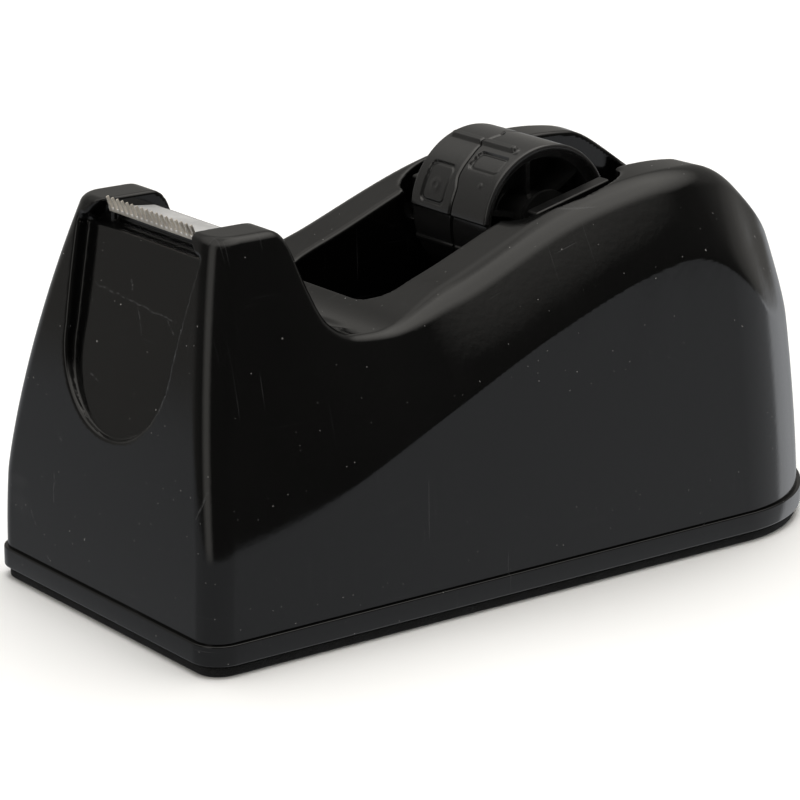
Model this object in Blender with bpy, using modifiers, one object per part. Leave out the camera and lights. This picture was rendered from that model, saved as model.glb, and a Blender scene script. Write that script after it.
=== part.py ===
"""Desk tape dispenser: weighted moulded body, serrated cutter and a lift-out tape hub.

Frame: +X is the right side, -Y the front (cutter end), +Z up, origin under the middle of
the foam pad. Shapes are laid out in millimetres as (x, b, z), where b is the distance
back from the front of the base lip, and turned into metres when a mesh is made.
"""
import math

import bmesh
import bpy
from mathutils import Matrix, Vector

# ---------------------------------------------------------------- driving dimensions, mm
MM = 0.001
LENGTH = 131.9            # front of lip to back of lip
HALF_WIDTH = 30.7         # centre to the side of the lip
GAP = 0.3                 # clearance between neighbouring pieces

PAD_THICKNESS = 1.6
PAD_INSET = 0.9
SHELL_BOTTOM = PAD_THICKNESS + GAP
LIP_TOP = 5.1
LIP_SHOULDER = 5.4
LIP_STEP = 0.6            # how far the lip stands proud of the side
WALL = 2.2
PLATE_THICKNESS = 1.8

FRONT_LEAN = 9.8          # how far the front leans back over FRONT_LEAN_HEIGHT
FRONT_LEAN_HEIGHT = 60.0
FRONT_LEAN_POWER = 1.92
FRONT_CORNER_RADIUS = 4.2
PANEL_CURVE = 0.0011      # inward bow of the lower side panel, 1/mm
REAR_DEPTH = 26.0         # plan depth of the rounded back at the base
REAR_LEAN = 0.0176
REAR_LEAN_POWER = 1.5

# Side view: height of the rim along the body (b, z).
RIM = [(9.7, 62.5), (19.7, 62.5), (22.1, 61.0), (23.9, 55.3), (27, 48.2), (31.7, 45.5),
       (36.7, 45.2), (50.7, 49.5), (77.7, 59.0), (94.7, 61.3), (99.7, 61.1), (103.7, 60.6),
       (106.7, 60.0), (110.7, 58.7), (114.7, 56.2), (118.7, 53.4), (126.7, 48.0)]
# Crease between the lower side panel and the leaning band above it (b, z).
CREASE = [(0.7, 16.6), (16.7, 20.2), (44.7, 32.3), (64.7, 40.9), (84.7, 47.3), (94.7, 48.9),
          (102.7, 45.2), (107.7, 40.1), (112.7, 33.6)]
# Lean of the band and the softness of the crease, along the body.
BAND_LEAN = [(0.7, 0.168), (20.7, 0.172), (33.7, 0.31), (50.7, 0.50), (94.7, 0.50),
             (132.7, 0.45)]
BAND_SOFTNESS = [(0.7, 2.0), (50.7, 2.0), (96.7, 2.5), (132.7, 10.0)]
REAR_DIP_START = 101.0    # behind this the rim sags towards the middle of the body
REAR_DIP_REACH = 8.2      # distance over which the sag builds up
REAR_DIP = 5.6            # sag in the middle of the body
REAR_DIP_HALF_WIDTH = 21.5

WELL_HALF_WIDTH = 12.4
WELL_FRONT = 42.7
WELL_BACK = 113.5
WELL_FLOOR = 15.1
WELL_CORNER = 5.0
WELL_WALL = 2.0           # plastic left round the well
HOLLOW_DROP = 3.5         # plastic left under the top surfaces
HOLLOW_CEILING = 48.0

RECESS_HALF_TOP = 16.5    # U recess in the front face, laid out on its flat floor
RECESS_RADIUS = 14.3
RECESS_FLOOR_LOW = (3.2, 29.2)     # (b, z) at the bottom of the U
RECESS_FLOOR_HIGH = (10.75, 59.2)  # (b, z) under the cutter
RECESS_WALL = 2.1         # plastic left behind the recess

HUB_B = 78.85             # hub axis, back from the front of the lip
HUB_Z = 53.1
HUB_RADIUS = 12.5         # fits a 25.4 mm tape core
HUB_HALF_LENGTH = 9.75
HUB_WALL = 1.5
RIB_ANGLE = 19.0          # first grip rib, degrees forward of the top
RIB_HEIGHT = 0.35
RIB_COUNT = 4
SPOKE_COUNT = 6
DRUM_WEB_X = 8.9          # end of the drum's inner sleeve
SLEEVE_RADIUS = 4.2
WASHER_RADIUS = 5.2
WASHER_INNER_X = 9.2
WASHER_OUTER_X = 9.9
AXLE_RADIUS = 2.0
AXLE_HALF_LENGTH = 14.6

SHOE_INNER_X = 10.2       # inner end of the shoe's round boss
SHOE_SLAB_X = 13.6        # inner face of the shoe itself
SHOE_OUTER_X = 16.2
SHOE_BOSS_RADIUS = 4.0
SHOE_HALF_LENGTH = 7.3
SHOE_RADIUS = 7.3
SHOE_TOP = 58.6
SHOE_SLOPE = 0.234
SLOT_INNER_X = SHOE_INNER_X - 0.2
SLOT_OUTER_X = SHOE_OUTER_X + GAP
SLOT_WALL = 1.6           # plastic left outside a slot

HORN_INNER_X = 12.3
BLADE_HALF_WIDTH = 12.0
BLADE_THICKNESS = 0.5
BLADE_FRONT = (11.2, 61.3)     # (b, z) of the plate's upper front edge
BLADE_REAR = (20.1, 60.4)
TOOTH_COUNT = 18
TOOTH_HEIGHT = 1.9
TOOTH_TIP = 0.32          # flat tip, as a part of the pitch
TOOTH_LEAN = math.radians(21.0)
TOOTH_ROOT = 1.0          # depth of the turned-down edge that carries the teeth
TONGUE_DROP = 3.4         # depth of the tongue behind the blade
SEAT_POCKET = 0.6         # room under the tongue
UNDERCUT_Z = 59.0         # floor of the gap under the front of the blade
UNDERCUT_B = 13.1

SCREW_PLACES = [(-17.5, 15.0), (17.5, 15.0), (-19.0, 101.0), (19.0, 101.0)]
BOSS_RADIUS = 3.2
SCREW_RADIUS = 1.4
SCREW_HEAD_RADIUS = 2.8
SCREW_LENGTH = 12.0
SCREW_HEAD_DEPTH = 1.4
DRIVER_RADIUS = 1.1
DRIVER_DEPTH = 0.7

BALLAST_FLOOR = SHELL_BOTTOM + PLATE_THICKNESS + GAP
BALLAST_HALF_WIDTH = 24.0
BALLAST_BACK = 95.0
BALLAST_CORNER = 1.2
TOWER_BALLAST_HALF_WIDTH = 13.0
TOWER_BALLAST_FRONT = 10.2
TOWER_BALLAST_TOP = 36.0

ROUND_SEGMENTS = 32
SMALL_SEGMENTS = 16
DRUM_SEGMENTS = 48
OPEN_TOP = 80.0           # a height clear above the whole body


# ---------------------------------------------------------------- small helpers
def metres(x, b, z):
    """A point given in (x, b, z) millimetres, in the object's frame in metres."""
    return (x * MM, (b - LENGTH / 2) * MM, z * MM)


def along(points, value):
    """Smooth monotone curve through (position, height) points, flat past its ends."""
    if value <= points[0][0]:
        return points[0][1]
    if value >= points[-1][0]:
        return points[-1][1]
    slopes = [(q[1] - p[1]) / (q[0] - p[0]) for p, q in zip(points, points[1:])]
    tangents = [slopes[0]]
    for before, after in zip(slopes, slopes[1:]):
        if before * after <= 0.0:
            tangents.append(0.0)
        else:
            tangents.append(2.0 * before * after / (before + after))
    tangents.append(slopes[-1])
    index = max(i for i, p in enumerate(points[:-1]) if p[0] <= value)
    (x0, y0), (x1, y1) = points[index], points[index + 1]
    span = x1 - x0
    t = (value - x0) / span
    rise = y0 * (1 + 2 * t) * (1 - t) ** 2 + y1 * t * t * (3 - 2 * t)
    bend = tangents[index] * t * (1 - t) ** 2 - tangents[index + 1] * t * t * (1 - t)
    return rise + bend * span


def material(name, colour, roughness, metallic=0.0):
    """A plain Principled material."""
    made = bpy.data.materials.new(name)
    made.use_nodes = True
    shader = made.node_tree.nodes["Principled BSDF"]
    shader.inputs["Base Color"].default_value = (*colour, 1.0)
    shader.inputs["Roughness"].default_value = roughness
    shader.inputs["Metallic"].default_value = metallic
    return made


def place(name, mesh, finish=None, collection=None, smooth=False):
    """Put a mesh in the scene as one named object."""
    made = bpy.data.objects.new(name, mesh)
    if finish is not None:
        mesh.materials.clear()
        mesh.materials.append(finish)
    collection.objects.link(made)
    if smooth:
        mesh.shade_smooth()
        mesh.set_sharp_from_angle(angle=math.radians(35))
    return made


def place_cutter(name, mesh):
    """A solid that only shapes others."""
    made = place(name, mesh, collection=cutters)
    made.hide_render = True
    made.display_type = 'WIRE'
    return made


def combine(target, tool, operation):
    """Boolean one object with another, kept as a modifier."""
    step = target.modifiers.new(operation.lower() + "_" + tool.name, 'BOOLEAN')
    step.operation = operation
    step.object = tool
    return step


def mesh_from(name, vertices, faces):
    """A mesh with outward faces from points in metres."""
    mesh = bpy.data.meshes.new(name)
    mesh.from_pydata(vertices, [], faces)
    work = bmesh.new()
    work.from_mesh(mesh)
    bmesh.ops.recalc_face_normals(work, faces=work.faces)
    work.to_mesh(mesh)
    work.free()
    return mesh


def box_mesh(name, low, high, corner=0.0, upright_only=False):
    """A box between two (x, b, z) corners, with its edges rounded if asked."""
    low, high = Vector(metres(*low)), Vector(metres(*high))
    work = bmesh.new()
    middle = Matrix.Translation((low + high) / 2)
    bmesh.ops.create_cube(work, size=1.0, matrix=middle @ Matrix.Diagonal((*(high - low), 1.0)))
    if corner:
        edges = work.edges[:]
        if upright_only:
            edges = [e for e in edges if abs(e.verts[0].co.z - e.verts[1].co.z) > 1e-6]
        bmesh.ops.bevel(work, geom=edges, offset=corner * MM, segments=4, profile=0.5,
                        affect='EDGES')
    mesh = bpy.data.meshes.new(name)
    work.to_mesh(mesh)
    work.free()
    return mesh


def rod_mesh(name, radius, start, end, axis='Z', segments=ROUND_SEGMENTS, end_radius=None):
    """A capped cylinder or cone between two (x, b, z) points along one axis."""
    start, end = Vector(metres(*start)), Vector(metres(*end))
    far_radius = radius if end_radius is None else end_radius
    work = bmesh.new()
    turn = Matrix.Rotation(math.radians(90), 4, 'Y') if axis == 'X' else Matrix.Identity(4)
    bmesh.ops.create_cone(work, cap_ends=True, segments=segments, radius1=radius * MM,
                          radius2=far_radius * MM, depth=(end - start).length,
                          matrix=Matrix.Translation((start + end) / 2) @ turn)
    mesh = bpy.data.meshes.new(name)
    work.to_mesh(mesh)
    work.free()
    return mesh


def slab_mesh(name, outline, thickness, frame):
    """A flat outline of (u, v) millimetres thickened evenly, set in place by a matrix."""
    curve = bpy.data.curves.new(name, 'CURVE')
    curve.dimensions = '2D'
    curve.fill_mode = 'BOTH'
    curve.extrude = thickness * MM / 2
    spline = curve.splines.new('POLY')
    spline.points.add(len(outline) - 1)
    for point, (u, v) in zip(spline.points, outline):
        point.co = (u * MM, v * MM, 0.0, 1.0)
    spline.use_cyclic_u = True
    guide = bpy.data.objects.new(name + "_outline", curve)
    bpy.context.scene.collection.objects.link(guide)
    bpy.context.view_layer.update()
    graph = bpy.context.evaluated_depsgraph_get()
    mesh = bpy.data.meshes.new_from_object(guide.evaluated_get(graph))
    bpy.data.objects.remove(guide)
    work = bmesh.new()
    work.from_mesh(mesh)
    bmesh.ops.remove_doubles(work, verts=work.verts, dist=1e-6)
    bmesh.ops.transform(work, matrix=frame, verts=work.verts)
    bmesh.ops.recalc_face_normals(work, faces=work.faces)
    work.to_mesh(mesh)
    work.free()
    mesh.name = name
    return mesh


def turned_mesh(name, profile, frame, steps=ROUND_SEGMENTS):
    """A (radius, length) profile in millimetres turned about Z, then set in place.

    A profile that starts and ends on the axis stays open there; any other is a ring.
    """
    mesh = bpy.data.meshes.new(name)
    points = [(radius * MM, 0.0, length * MM) for radius, length in profile]
    edges = [(i, i + 1) for i in range(len(points) - 1)]
    if profile[0][0] > 0.0:
        edges.append((len(points) - 1, 0))
    mesh.from_pydata(points, edges, [])
    spun = bpy.data.objects.new(name + "_profile", mesh)
    bpy.context.scene.collection.objects.link(spun)
    screw = spun.modifiers.new("turn", 'SCREW')
    screw.axis = 'Z'
    screw.angle = math.tau
    screw.steps = steps
    screw.render_steps = steps
    screw.use_merge_vertices = True
    screw.merge_threshold = 0.00001
    bpy.context.view_layer.update()
    graph = bpy.context.evaluated_depsgraph_get()
    solid = bpy.data.meshes.new_from_object(spun.evaluated_get(graph))
    bpy.data.objects.remove(spun)
    work = bmesh.new()
    work.from_mesh(solid)
    bmesh.ops.remove_doubles(work, verts=work.verts, dist=1e-6)
    bmesh.ops.transform(work, matrix=frame, verts=work.verts)
    bmesh.ops.recalc_face_normals(work, faces=work.faces)
    work.to_mesh(solid)
    work.free()
    solid.name = name
    return solid


# ---------------------------------------------------------------- body surface
def front_at(z):
    """Distance b of the front face at a height."""
    rise = max(z - LIP_SHOULDER, 0.0) / FRONT_LEAN_HEIGHT
    return LIP_STEP + FRONT_LEAN * rise ** FRONT_LEAN_POWER


def back_at(z):
    """Distance b of the rearmost point at a height."""
    return LENGTH - LIP_STEP - REAR_LEAN * max(z, 0.0) ** REAR_LEAN_POWER


def side_at(b, z):
    """Half width of the body at a distance back and a height."""
    panel = HALF_WIDTH - LIP_STEP - PANEL_CURVE * max(z - LIP_SHOULDER, 0.0) ** 2
    above = max(z - along(CREASE, b), 0.0)
    softness = along(BAND_SOFTNESS, b)
    return panel - along(BAND_LEAN, b) * above * above / (above + softness)


SIDE_STATIONS = [0.03, 0.075, 0.12, 0.15, 0.18, 0.21, 0.25, 0.3, 0.36, 0.44, 0.53,
                 0.62, 0.7, 0.78, 0.85, 0.91, 0.96, 1.0]
CORNER_STEPS = 5
REAR_STEPS = 9


def section(z):
    """Right half of the plan outline at a height, front to back, as (x, b) points."""
    front, back = front_at(z), back_at(z)
    depth = REAR_DEPTH * side_at(back - REAR_DEPTH, z) / (HALF_WIDTH - LIP_STEP)
    turn = back - depth
    radius = FRONT_CORNER_RADIUS
    points = []
    corner_x = side_at(front + radius, z) - radius
    for step in range(CORNER_STEPS + 1):
        angle = math.radians(90) * step / CORNER_STEPS
        points.append((corner_x + radius * math.sin(angle), front + radius * (1 - math.cos(angle))))
    for part in SIDE_STATIONS:
        b = front + radius + (turn - front - radius) * part
        points.append((side_at(b, z), b))
    last_angle = math.radians(90) * REAR_STEPS / (REAR_STEPS + 0.5)
    for step in range(1, REAR_STEPS + 1):
        angle = last_angle * step / REAR_STEPS
        b = turn + depth * math.sin(angle) / math.sin(last_angle)
        points.append((side_at(b, z) * math.cos(angle), b))
    return points


def offset_section(z, distance):
    """The section at a height moved outwards (or inwards when negative)."""
    points = section(z)
    moved = []
    for index, (x, b) in enumerate(points):
        before = points[index - 1] if index else (-x, b)
        after = points[index + 1] if index + 1 < len(points) else (-x, b)
        run = Vector((after[0] - before[0], after[1] - before[1])).normalized()
        moved.append((x + run.y * distance, b - run.x * distance))
    return moved


def rim_height(x, b):
    """Height of the top surface at a point in plan."""
    behind = max(b - REAR_DIP_START, 0.0)
    sag = REAR_DIP * (1.0 - math.exp(-(behind / REAR_DIP_REACH) ** 2))
    across = min((x / REAR_DIP_HALF_WIDTH) ** 2, 1.0)
    return along(RIM, b) - sag * (1.0 - across)


def column_top(index, drop, ceiling, inset):
    """Height where one column of the section meets the top surface, lowered by drop."""
    low, high = 20.0, 70.0
    for _ in range(30):
        middle = (low + high) / 2
        x, b = offset_section(middle, -inset)[index]
        if middle < min(rim_height(x, b) - drop, ceiling):
            low = middle
        else:
            high = middle
    return (low + high) / 2


def body_loft(name, bottom_rows, inset, drop, ceiling, panel_rows, band_rows):
    """Closed solid lofted up the body's sections and closed over the top.

    bottom_rows holds (z, outward offset) pairs; drop and ceiling lower the top surface.
    """
    columns = len(section(10.0))
    tops = [column_top(i, drop, ceiling, inset) for i in range(columns)]
    rings = [[(x, b, z) for x, b in offset_section(z, out)] for z, out in bottom_rows]
    start = bottom_rows[-1][0]
    for row in range(1, panel_rows + band_rows + 1):
        ring = []
        for index, top in enumerate(tops):
            crease = min(along(CREASE, section(top)[index][1]), top - 4.0)
            if row <= panel_rows:
                z = start + (crease - start) * row / panel_rows
            else:
                z = crease + (top - crease) * (row - panel_rows) / band_rows
            x, b = offset_section(z, -inset)[index]
            ring.append((x, b, z))
        rings.append(ring)
    vertices = []
    for ring in rings:
        vertices += [metres(*p) for p in ring]
        vertices += [metres(-x, b, z) for x, b, z in reversed(ring)]
    loop = 2 * columns
    last = (len(rings) - 1) * loop
    strips = [[last + i for i in range(columns)]]
    for part in (0.6, 0.0, -0.6):
        strip = []
        for x, b, _z in rings[-1]:
            strip.append(len(vertices))
            vertices.append(metres(x * part, b, min(rim_height(x * part, b) - drop, ceiling)))
        strips.append(strip)
    strips.append([last + loop - 1 - i for i in range(columns)])
    faces = [tuple(reversed(range(loop)))]
    for low in range(0, last, loop):
        for index in range(loop):
            after = (index + 1) % loop
            upper = [low + loop + after, low + loop + index]
            if low + loop == last and index == loop - 1:
                upper = [strip[0] for strip in strips]
            if low + loop == last and index == columns - 1:
                upper = [strip[-1] for strip in reversed(strips)]
            faces.append((low + index, low + after, *upper))
    for left, right in zip(strips, strips[1:]):
        for i in range(columns - 1):
            faces.append((left[i], left[i + 1], right[i + 1]))
            faces.append((left[i], right[i + 1], right[i]))
    return mesh_from(name, vertices, faces)


# ---------------------------------------------------------------- body shell
def recess_outline(grow):
    """U outline up the recess floor: round at the bottom, widening a little upwards."""
    low, high = RECESS_FLOOR_LOW, RECESS_FLOOR_HIGH
    rise = math.hypot(high[0] - low[0], high[1] - low[1]) + grow
    radius = RECESS_RADIUS + grow
    points = [(RECESS_HALF_TOP + grow, rise)]
    for step in range(SMALL_SEGMENTS + 1):
        angle = math.pi * step / SMALL_SEGMENTS
        points.append((radius * math.cos(angle), RECESS_RADIUS - radius * math.sin(angle)))
    points.append((-RECESS_HALF_TOP - grow, rise))
    return points


def front_frame(outward_shift):
    """Matrix that stands a flat outline on the recess floor, its foot at the U's bottom."""
    foot = Vector(metres(0, *RECESS_FLOOR_LOW))
    head = Vector(metres(0, *RECESS_FLOOR_HIGH))
    up = (head - foot).normalized()
    across = Vector((1.0, 0.0, 0.0))
    outward = across.cross(up)
    turn = Matrix((across, up, outward)).transposed().to_4x4()
    return Matrix.Translation(foot + outward * (outward_shift * MM)) @ turn


def make_shell(finish):
    """The one-piece moulding: tower, horns, double side walls and the roll well."""
    rows = [(SHELL_BOTTOM, LIP_STEP), (LIP_TOP, LIP_STEP), (LIP_SHOULDER, 0.0)]
    outside = body_loft("body_shell", rows, 0.0, 0.0, OPEN_TOP, 4, 5)
    shell = place("body_shell", outside, finish, parts, smooth=True)
    combine(shell, make_hollow(), 'DIFFERENCE')
    cut_well_and_slots(shell)
    cut_front(shell)
    for index, (x, b) in enumerate(SCREW_PLACES):
        name = f"screw_bore_{index + 1}"
        bore = rod_mesh(name, SCREW_RADIUS + GAP, (x, b, 0.0), (x, b, SCREW_LENGTH + 3.0),
                        segments=SMALL_SEGMENTS)
        combine(shell, place_cutter(name, bore), 'DIFFERENCE')


def make_hollow():
    """The space inside the moulding, less the walls that stand in it."""
    rows = [(SHELL_BOTTOM - 1.0, -WALL), (SHELL_BOTTOM + 4.0, -WALL)]
    inside = body_loft("hollow", rows, WALL, HOLLOW_DROP, HOLLOW_CEILING, 3, 3)
    hollow = place_cutter("hollow", inside)
    low = (-WELL_HALF_WIDTH - WELL_WALL, WELL_FRONT - WELL_WALL, WELL_FLOOR - WELL_WALL)
    high = (WELL_HALF_WIDTH + WELL_WALL, WELL_BACK + WELL_WALL, OPEN_TOP)
    well_wall = box_mesh("well_wall", low, high, WELL_CORNER + 1, True)
    combine(hollow, place_cutter("well_wall", well_wall), 'DIFFERENCE')
    depth = 10.0
    backing = slab_mesh("recess_wall", recess_outline(WALL), depth,
                        front_frame(depth / 2 - RECESS_WALL))
    combine(hollow, place_cutter("recess_wall", backing), 'DIFFERENCE')
    around = SHOE_HALF_LENGTH + WALL
    for side, label in ((-1, "left"), (1, "right")):
        xs = sorted((side * SLOT_INNER_X, side * (SLOT_OUTER_X + SLOT_WALL)))
        wall = box_mesh("slot_wall_" + label, (xs[0], HUB_B - around, HUB_Z - SHOE_RADIUS - WALL),
                        (xs[1], HUB_B + around, OPEN_TOP))
        combine(hollow, place_cutter("slot_wall_" + label, wall), 'DIFFERENCE')
    for index, (x, b) in enumerate(SCREW_PLACES):
        post = rod_mesh(f"boss_{index + 1}", BOSS_RADIUS, (x, b, BALLAST_FLOOR), (x, b, OPEN_TOP),
                        segments=SMALL_SEGMENTS)
        combine(hollow, place_cutter(f"boss_{index + 1}", post), 'DIFFERENCE')
    return hollow


def cut_well_and_slots(shell):
    """The roll well, and the open-topped slots that take the hub's shoes."""
    well = box_mesh("well", (-WELL_HALF_WIDTH, WELL_FRONT, WELL_FLOOR),
                    (WELL_HALF_WIDTH, WELL_BACK, OPEN_TOP), WELL_CORNER, True)
    combine(shell, place_cutter("well", well), 'DIFFERENCE')
    for side, label in ((-1, "left"), (1, "right")):
        outline = shoe_outline(SHOE_HALF_LENGTH + GAP, SHOE_RADIUS + GAP, OPEN_TOP, 0.0)
        middle = side * (SLOT_OUTER_X + SLOT_INNER_X) / 2
        slot = slab_mesh("hub_slot_" + label, outline, SLOT_OUTER_X - SLOT_INNER_X,
                         side_frame(middle))
        combine(shell, place_cutter("hub_slot_" + label, slot), 'DIFFERENCE')


def cut_front(shell):
    """The U recess in the front face, the seat for the cutter and the gap under it."""
    depth = 8.0
    recess = slab_mesh("front_recess", recess_outline(0.0), depth, front_frame(depth / 2))
    combine(shell, place_cutter("front_recess", recess), 'DIFFERENCE')

    seat_front = BLADE_FRONT[1] - BLADE_THICKNESS - GAP
    seat_rear = BLADE_REAR[1] - BLADE_THICKNESS - GAP
    pocket_front = BLADE_REAR[0] - BLADE_THICKNESS - 2 * GAP
    pocket_back = BLADE_REAR[0] + GAP
    pocket_low = BLADE_REAR[1] - TONGUE_DROP - SEAT_POCKET
    behind = seat_rear + 0.4
    seat = [(-5.0, OPEN_TOP), (-5.0, seat_front), (BLADE_FRONT[0] + 0.8, seat_front),
            (pocket_front, seat_rear), (pocket_front, pocket_low), (pocket_back, pocket_low),
            (pocket_back, behind), (30.0, behind), (30.0, OPEN_TOP)]
    seat_mesh = slab_mesh("blade_seat", seat, 2 * HORN_INNER_X, side_frame(0.0))
    combine(shell, place_cutter("blade_seat", seat_mesh), 'DIFFERENCE')
    undercut = box_mesh("blade_undercut", (-HORN_INNER_X, 5.0, UNDERCUT_Z),
                        (HORN_INNER_X, UNDERCUT_B, OPEN_TOP))
    combine(shell, place_cutter("blade_undercut", undercut), 'DIFFERENCE')


def side_frame(x):
    """Matrix that turns a (b, z) outline to face sideways, centred on a plane of constant x."""
    turn = Matrix(((0, 0, 1), (1, 0, 0), (0, 1, 0))).to_4x4()
    return Matrix.Translation((x * MM, -LENGTH / 2 * MM, 0.0)) @ turn


def shoe_outline(half_length, radius, top, slope):
    """Round-bottomed tongue about the hub axis, as (b, z) points."""
    points = [(HUB_B + half_length, top + slope * half_length),
              (HUB_B - half_length, top - slope * half_length)]
    for step in range(13):
        angle = math.pi + math.pi * step / 12
        points.append((HUB_B + radius * math.cos(angle), HUB_Z + radius * math.sin(angle)))
    return points


# ---------------------------------------------------------------- base, pad and weights
def plan_outline(inset):
    """Whole plan outline at the base, moved in from the side of the body."""
    half = offset_section(LIP_SHOULDER, -inset)
    return half + [(-x, b) for x, b in reversed(half)]


def floor_frame(z):
    """Matrix that lays an (x, b) outline level at a height."""
    return Matrix.Translation((0.0, -LENGTH / 2 * MM, z * MM))


def make_foam_pad(finish):
    """Soft pad under the whole base."""
    inset = PAD_INSET - LIP_STEP
    mesh = slab_mesh("foam_pad", plan_outline(inset), PAD_THICKNESS, floor_frame(PAD_THICKNESS / 2))
    place("foam_pad", mesh, finish, parts)


def make_base_plate(finish):
    """Closing plate inside the lip, with a countersunk hole at each screw."""
    middle = SHELL_BOTTOM + PLATE_THICKNESS / 2
    mesh = slab_mesh("base_plate", plan_outline(WALL + GAP), PLATE_THICKNESS, floor_frame(middle))
    plate = place("base_plate", mesh, finish, parts)
    for index, (x, b) in enumerate(SCREW_PLACES):
        name = f"countersink_{index + 1}"
        sink = rod_mesh(name, SCREW_HEAD_RADIUS + GAP + 0.5, (x, b, SHELL_BOTTOM - 0.5),
                        (x, b, SHELL_BOTTOM + PLATE_THICKNESS + 0.2), segments=SMALL_SEGMENTS,
                        end_radius=SCREW_RADIUS + GAP)
        combine(plate, place_cutter(name, sink), 'DIFFERENCE')


def make_base_screws(finish):
    """Countersunk screws that hold the base plate to the shell's bosses."""
    names = ("base_screw_front_left", "base_screw_front_right",
             "base_screw_rear_left", "base_screw_rear_right")
    low = SHELL_BOTTOM + 0.1
    profile = [(0.0, low), (SCREW_HEAD_RADIUS, low), (SCREW_RADIUS, low + SCREW_HEAD_DEPTH),
               (SCREW_RADIUS, low + SCREW_LENGTH - 1.5), (0.0, low + SCREW_LENGTH)]
    for name, (x, b) in zip(names, SCREW_PLACES):
        upright = Matrix.Translation(metres(x, b, 0.0))
        screw = place(name, turned_mesh(name, profile, upright, SMALL_SEGMENTS), finish, parts,
                      smooth=True)
        driver = rod_mesh(name + "_driver", DRIVER_RADIUS, (x, b, low - 0.5),
                          (x, b, low + DRIVER_DEPTH), segments=6)
        combine(screw, place_cutter(name + "_driver", driver), 'DIFFERENCE')


def make_ballast(finish):
    """Cast weights: a flat one under the well and a taller one inside the tower."""
    under = box_mesh("ballast_under_well", (-BALLAST_HALF_WIDTH, WELL_FRONT, BALLAST_FLOOR),
                     (BALLAST_HALF_WIDTH, BALLAST_BACK, WELL_FLOOR - WELL_WALL - GAP),
                     BALLAST_CORNER)
    place("ballast_under_well", under, finish, parts)
    tower = box_mesh("ballast_tower",
                     (-TOWER_BALLAST_HALF_WIDTH, TOWER_BALLAST_FRONT, BALLAST_FLOOR),
                     (TOWER_BALLAST_HALF_WIDTH, WELL_FRONT - WELL_WALL - 2 * GAP,
                      TOWER_BALLAST_TOP), BALLAST_CORNER)
    place("ballast_tower", tower, finish, parts)


# ---------------------------------------------------------------- cutter
def make_blade(finish):
    """Steel cutter: a sloping plate with a toothed front edge and a tongue at the back."""
    front_b, front_z = BLADE_FRONT
    rear_b, rear_z = BLADE_REAR
    thick = BLADE_THICKNESS
    lean_b = math.sin(TOOTH_LEAN)
    lean_z = math.cos(TOOTH_LEAN)
    root_b = front_b + TOOTH_ROOT * lean_b
    root_z = front_z - TOOTH_ROOT * lean_z - 0.2
    strip = [(front_b, front_z), (rear_b, rear_z), (rear_b, rear_z - TONGUE_DROP),
             (rear_b - thick, rear_z - TONGUE_DROP), (rear_b - thick, rear_z - thick),
             (front_b + thick, front_z - thick), (root_b, root_z), (root_b - thick, root_z),
             (front_b - thick, front_z)]
    plate = slab_mesh("cutter_blade", strip, 2 * BLADE_HALF_WIDTH, side_frame(0.0))
    blade = place("cutter_blade", plate, finish, parts)

    pitch = 2 * BLADE_HALF_WIDTH / TOOTH_COUNT
    comb = [(BLADE_HALF_WIDTH, -0.6)]
    for tooth in range(TOOTH_COUNT):
        left = BLADE_HALF_WIDTH - pitch * tooth
        slope = pitch * (1 - TOOTH_TIP) / 2
        comb += [(left, 0.1), (left - slope, TOOTH_HEIGHT), (left - pitch + slope, TOOTH_HEIGHT)]
    comb += [(-BLADE_HALF_WIDTH, 0.1), (-BLADE_HALF_WIDTH, -0.6)]
    across = Vector((1.0, 0.0, 0.0))
    up = Vector((0.0, -lean_b, lean_z))
    turn = Matrix((across, up, across.cross(up))).transposed().to_4x4()
    centre = Matrix.Translation(metres(0.0, front_b - thick / 2 - 0.01, front_z))
    teeth = slab_mesh("blade_teeth", comb, thick - 0.04, centre @ turn)
    combine(blade, place_cutter("blade_teeth", teeth), 'UNION')


# ---------------------------------------------------------------- hub
def hub_bar(name, degrees, x, length, width, inner, outer):
    """A bar along the hub between two radii, turned forward from the top by an angle."""
    work = bmesh.new()
    size = Matrix.Diagonal((length * MM, width * MM, (outer - inner) * MM, 1.0))
    rise = Matrix.Translation((x * MM, 0.0, (outer + inner) / 2 * MM))
    swing = Matrix.Rotation(math.radians(degrees), 4, 'X')
    bmesh.ops.create_cube(work, size=1.0,
                          matrix=Matrix.Translation(metres(0, HUB_B, HUB_Z)) @ swing @ rise @ size)
    mesh = bpy.data.meshes.new(name)
    work.to_mesh(mesh)
    work.free()
    return mesh


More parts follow.
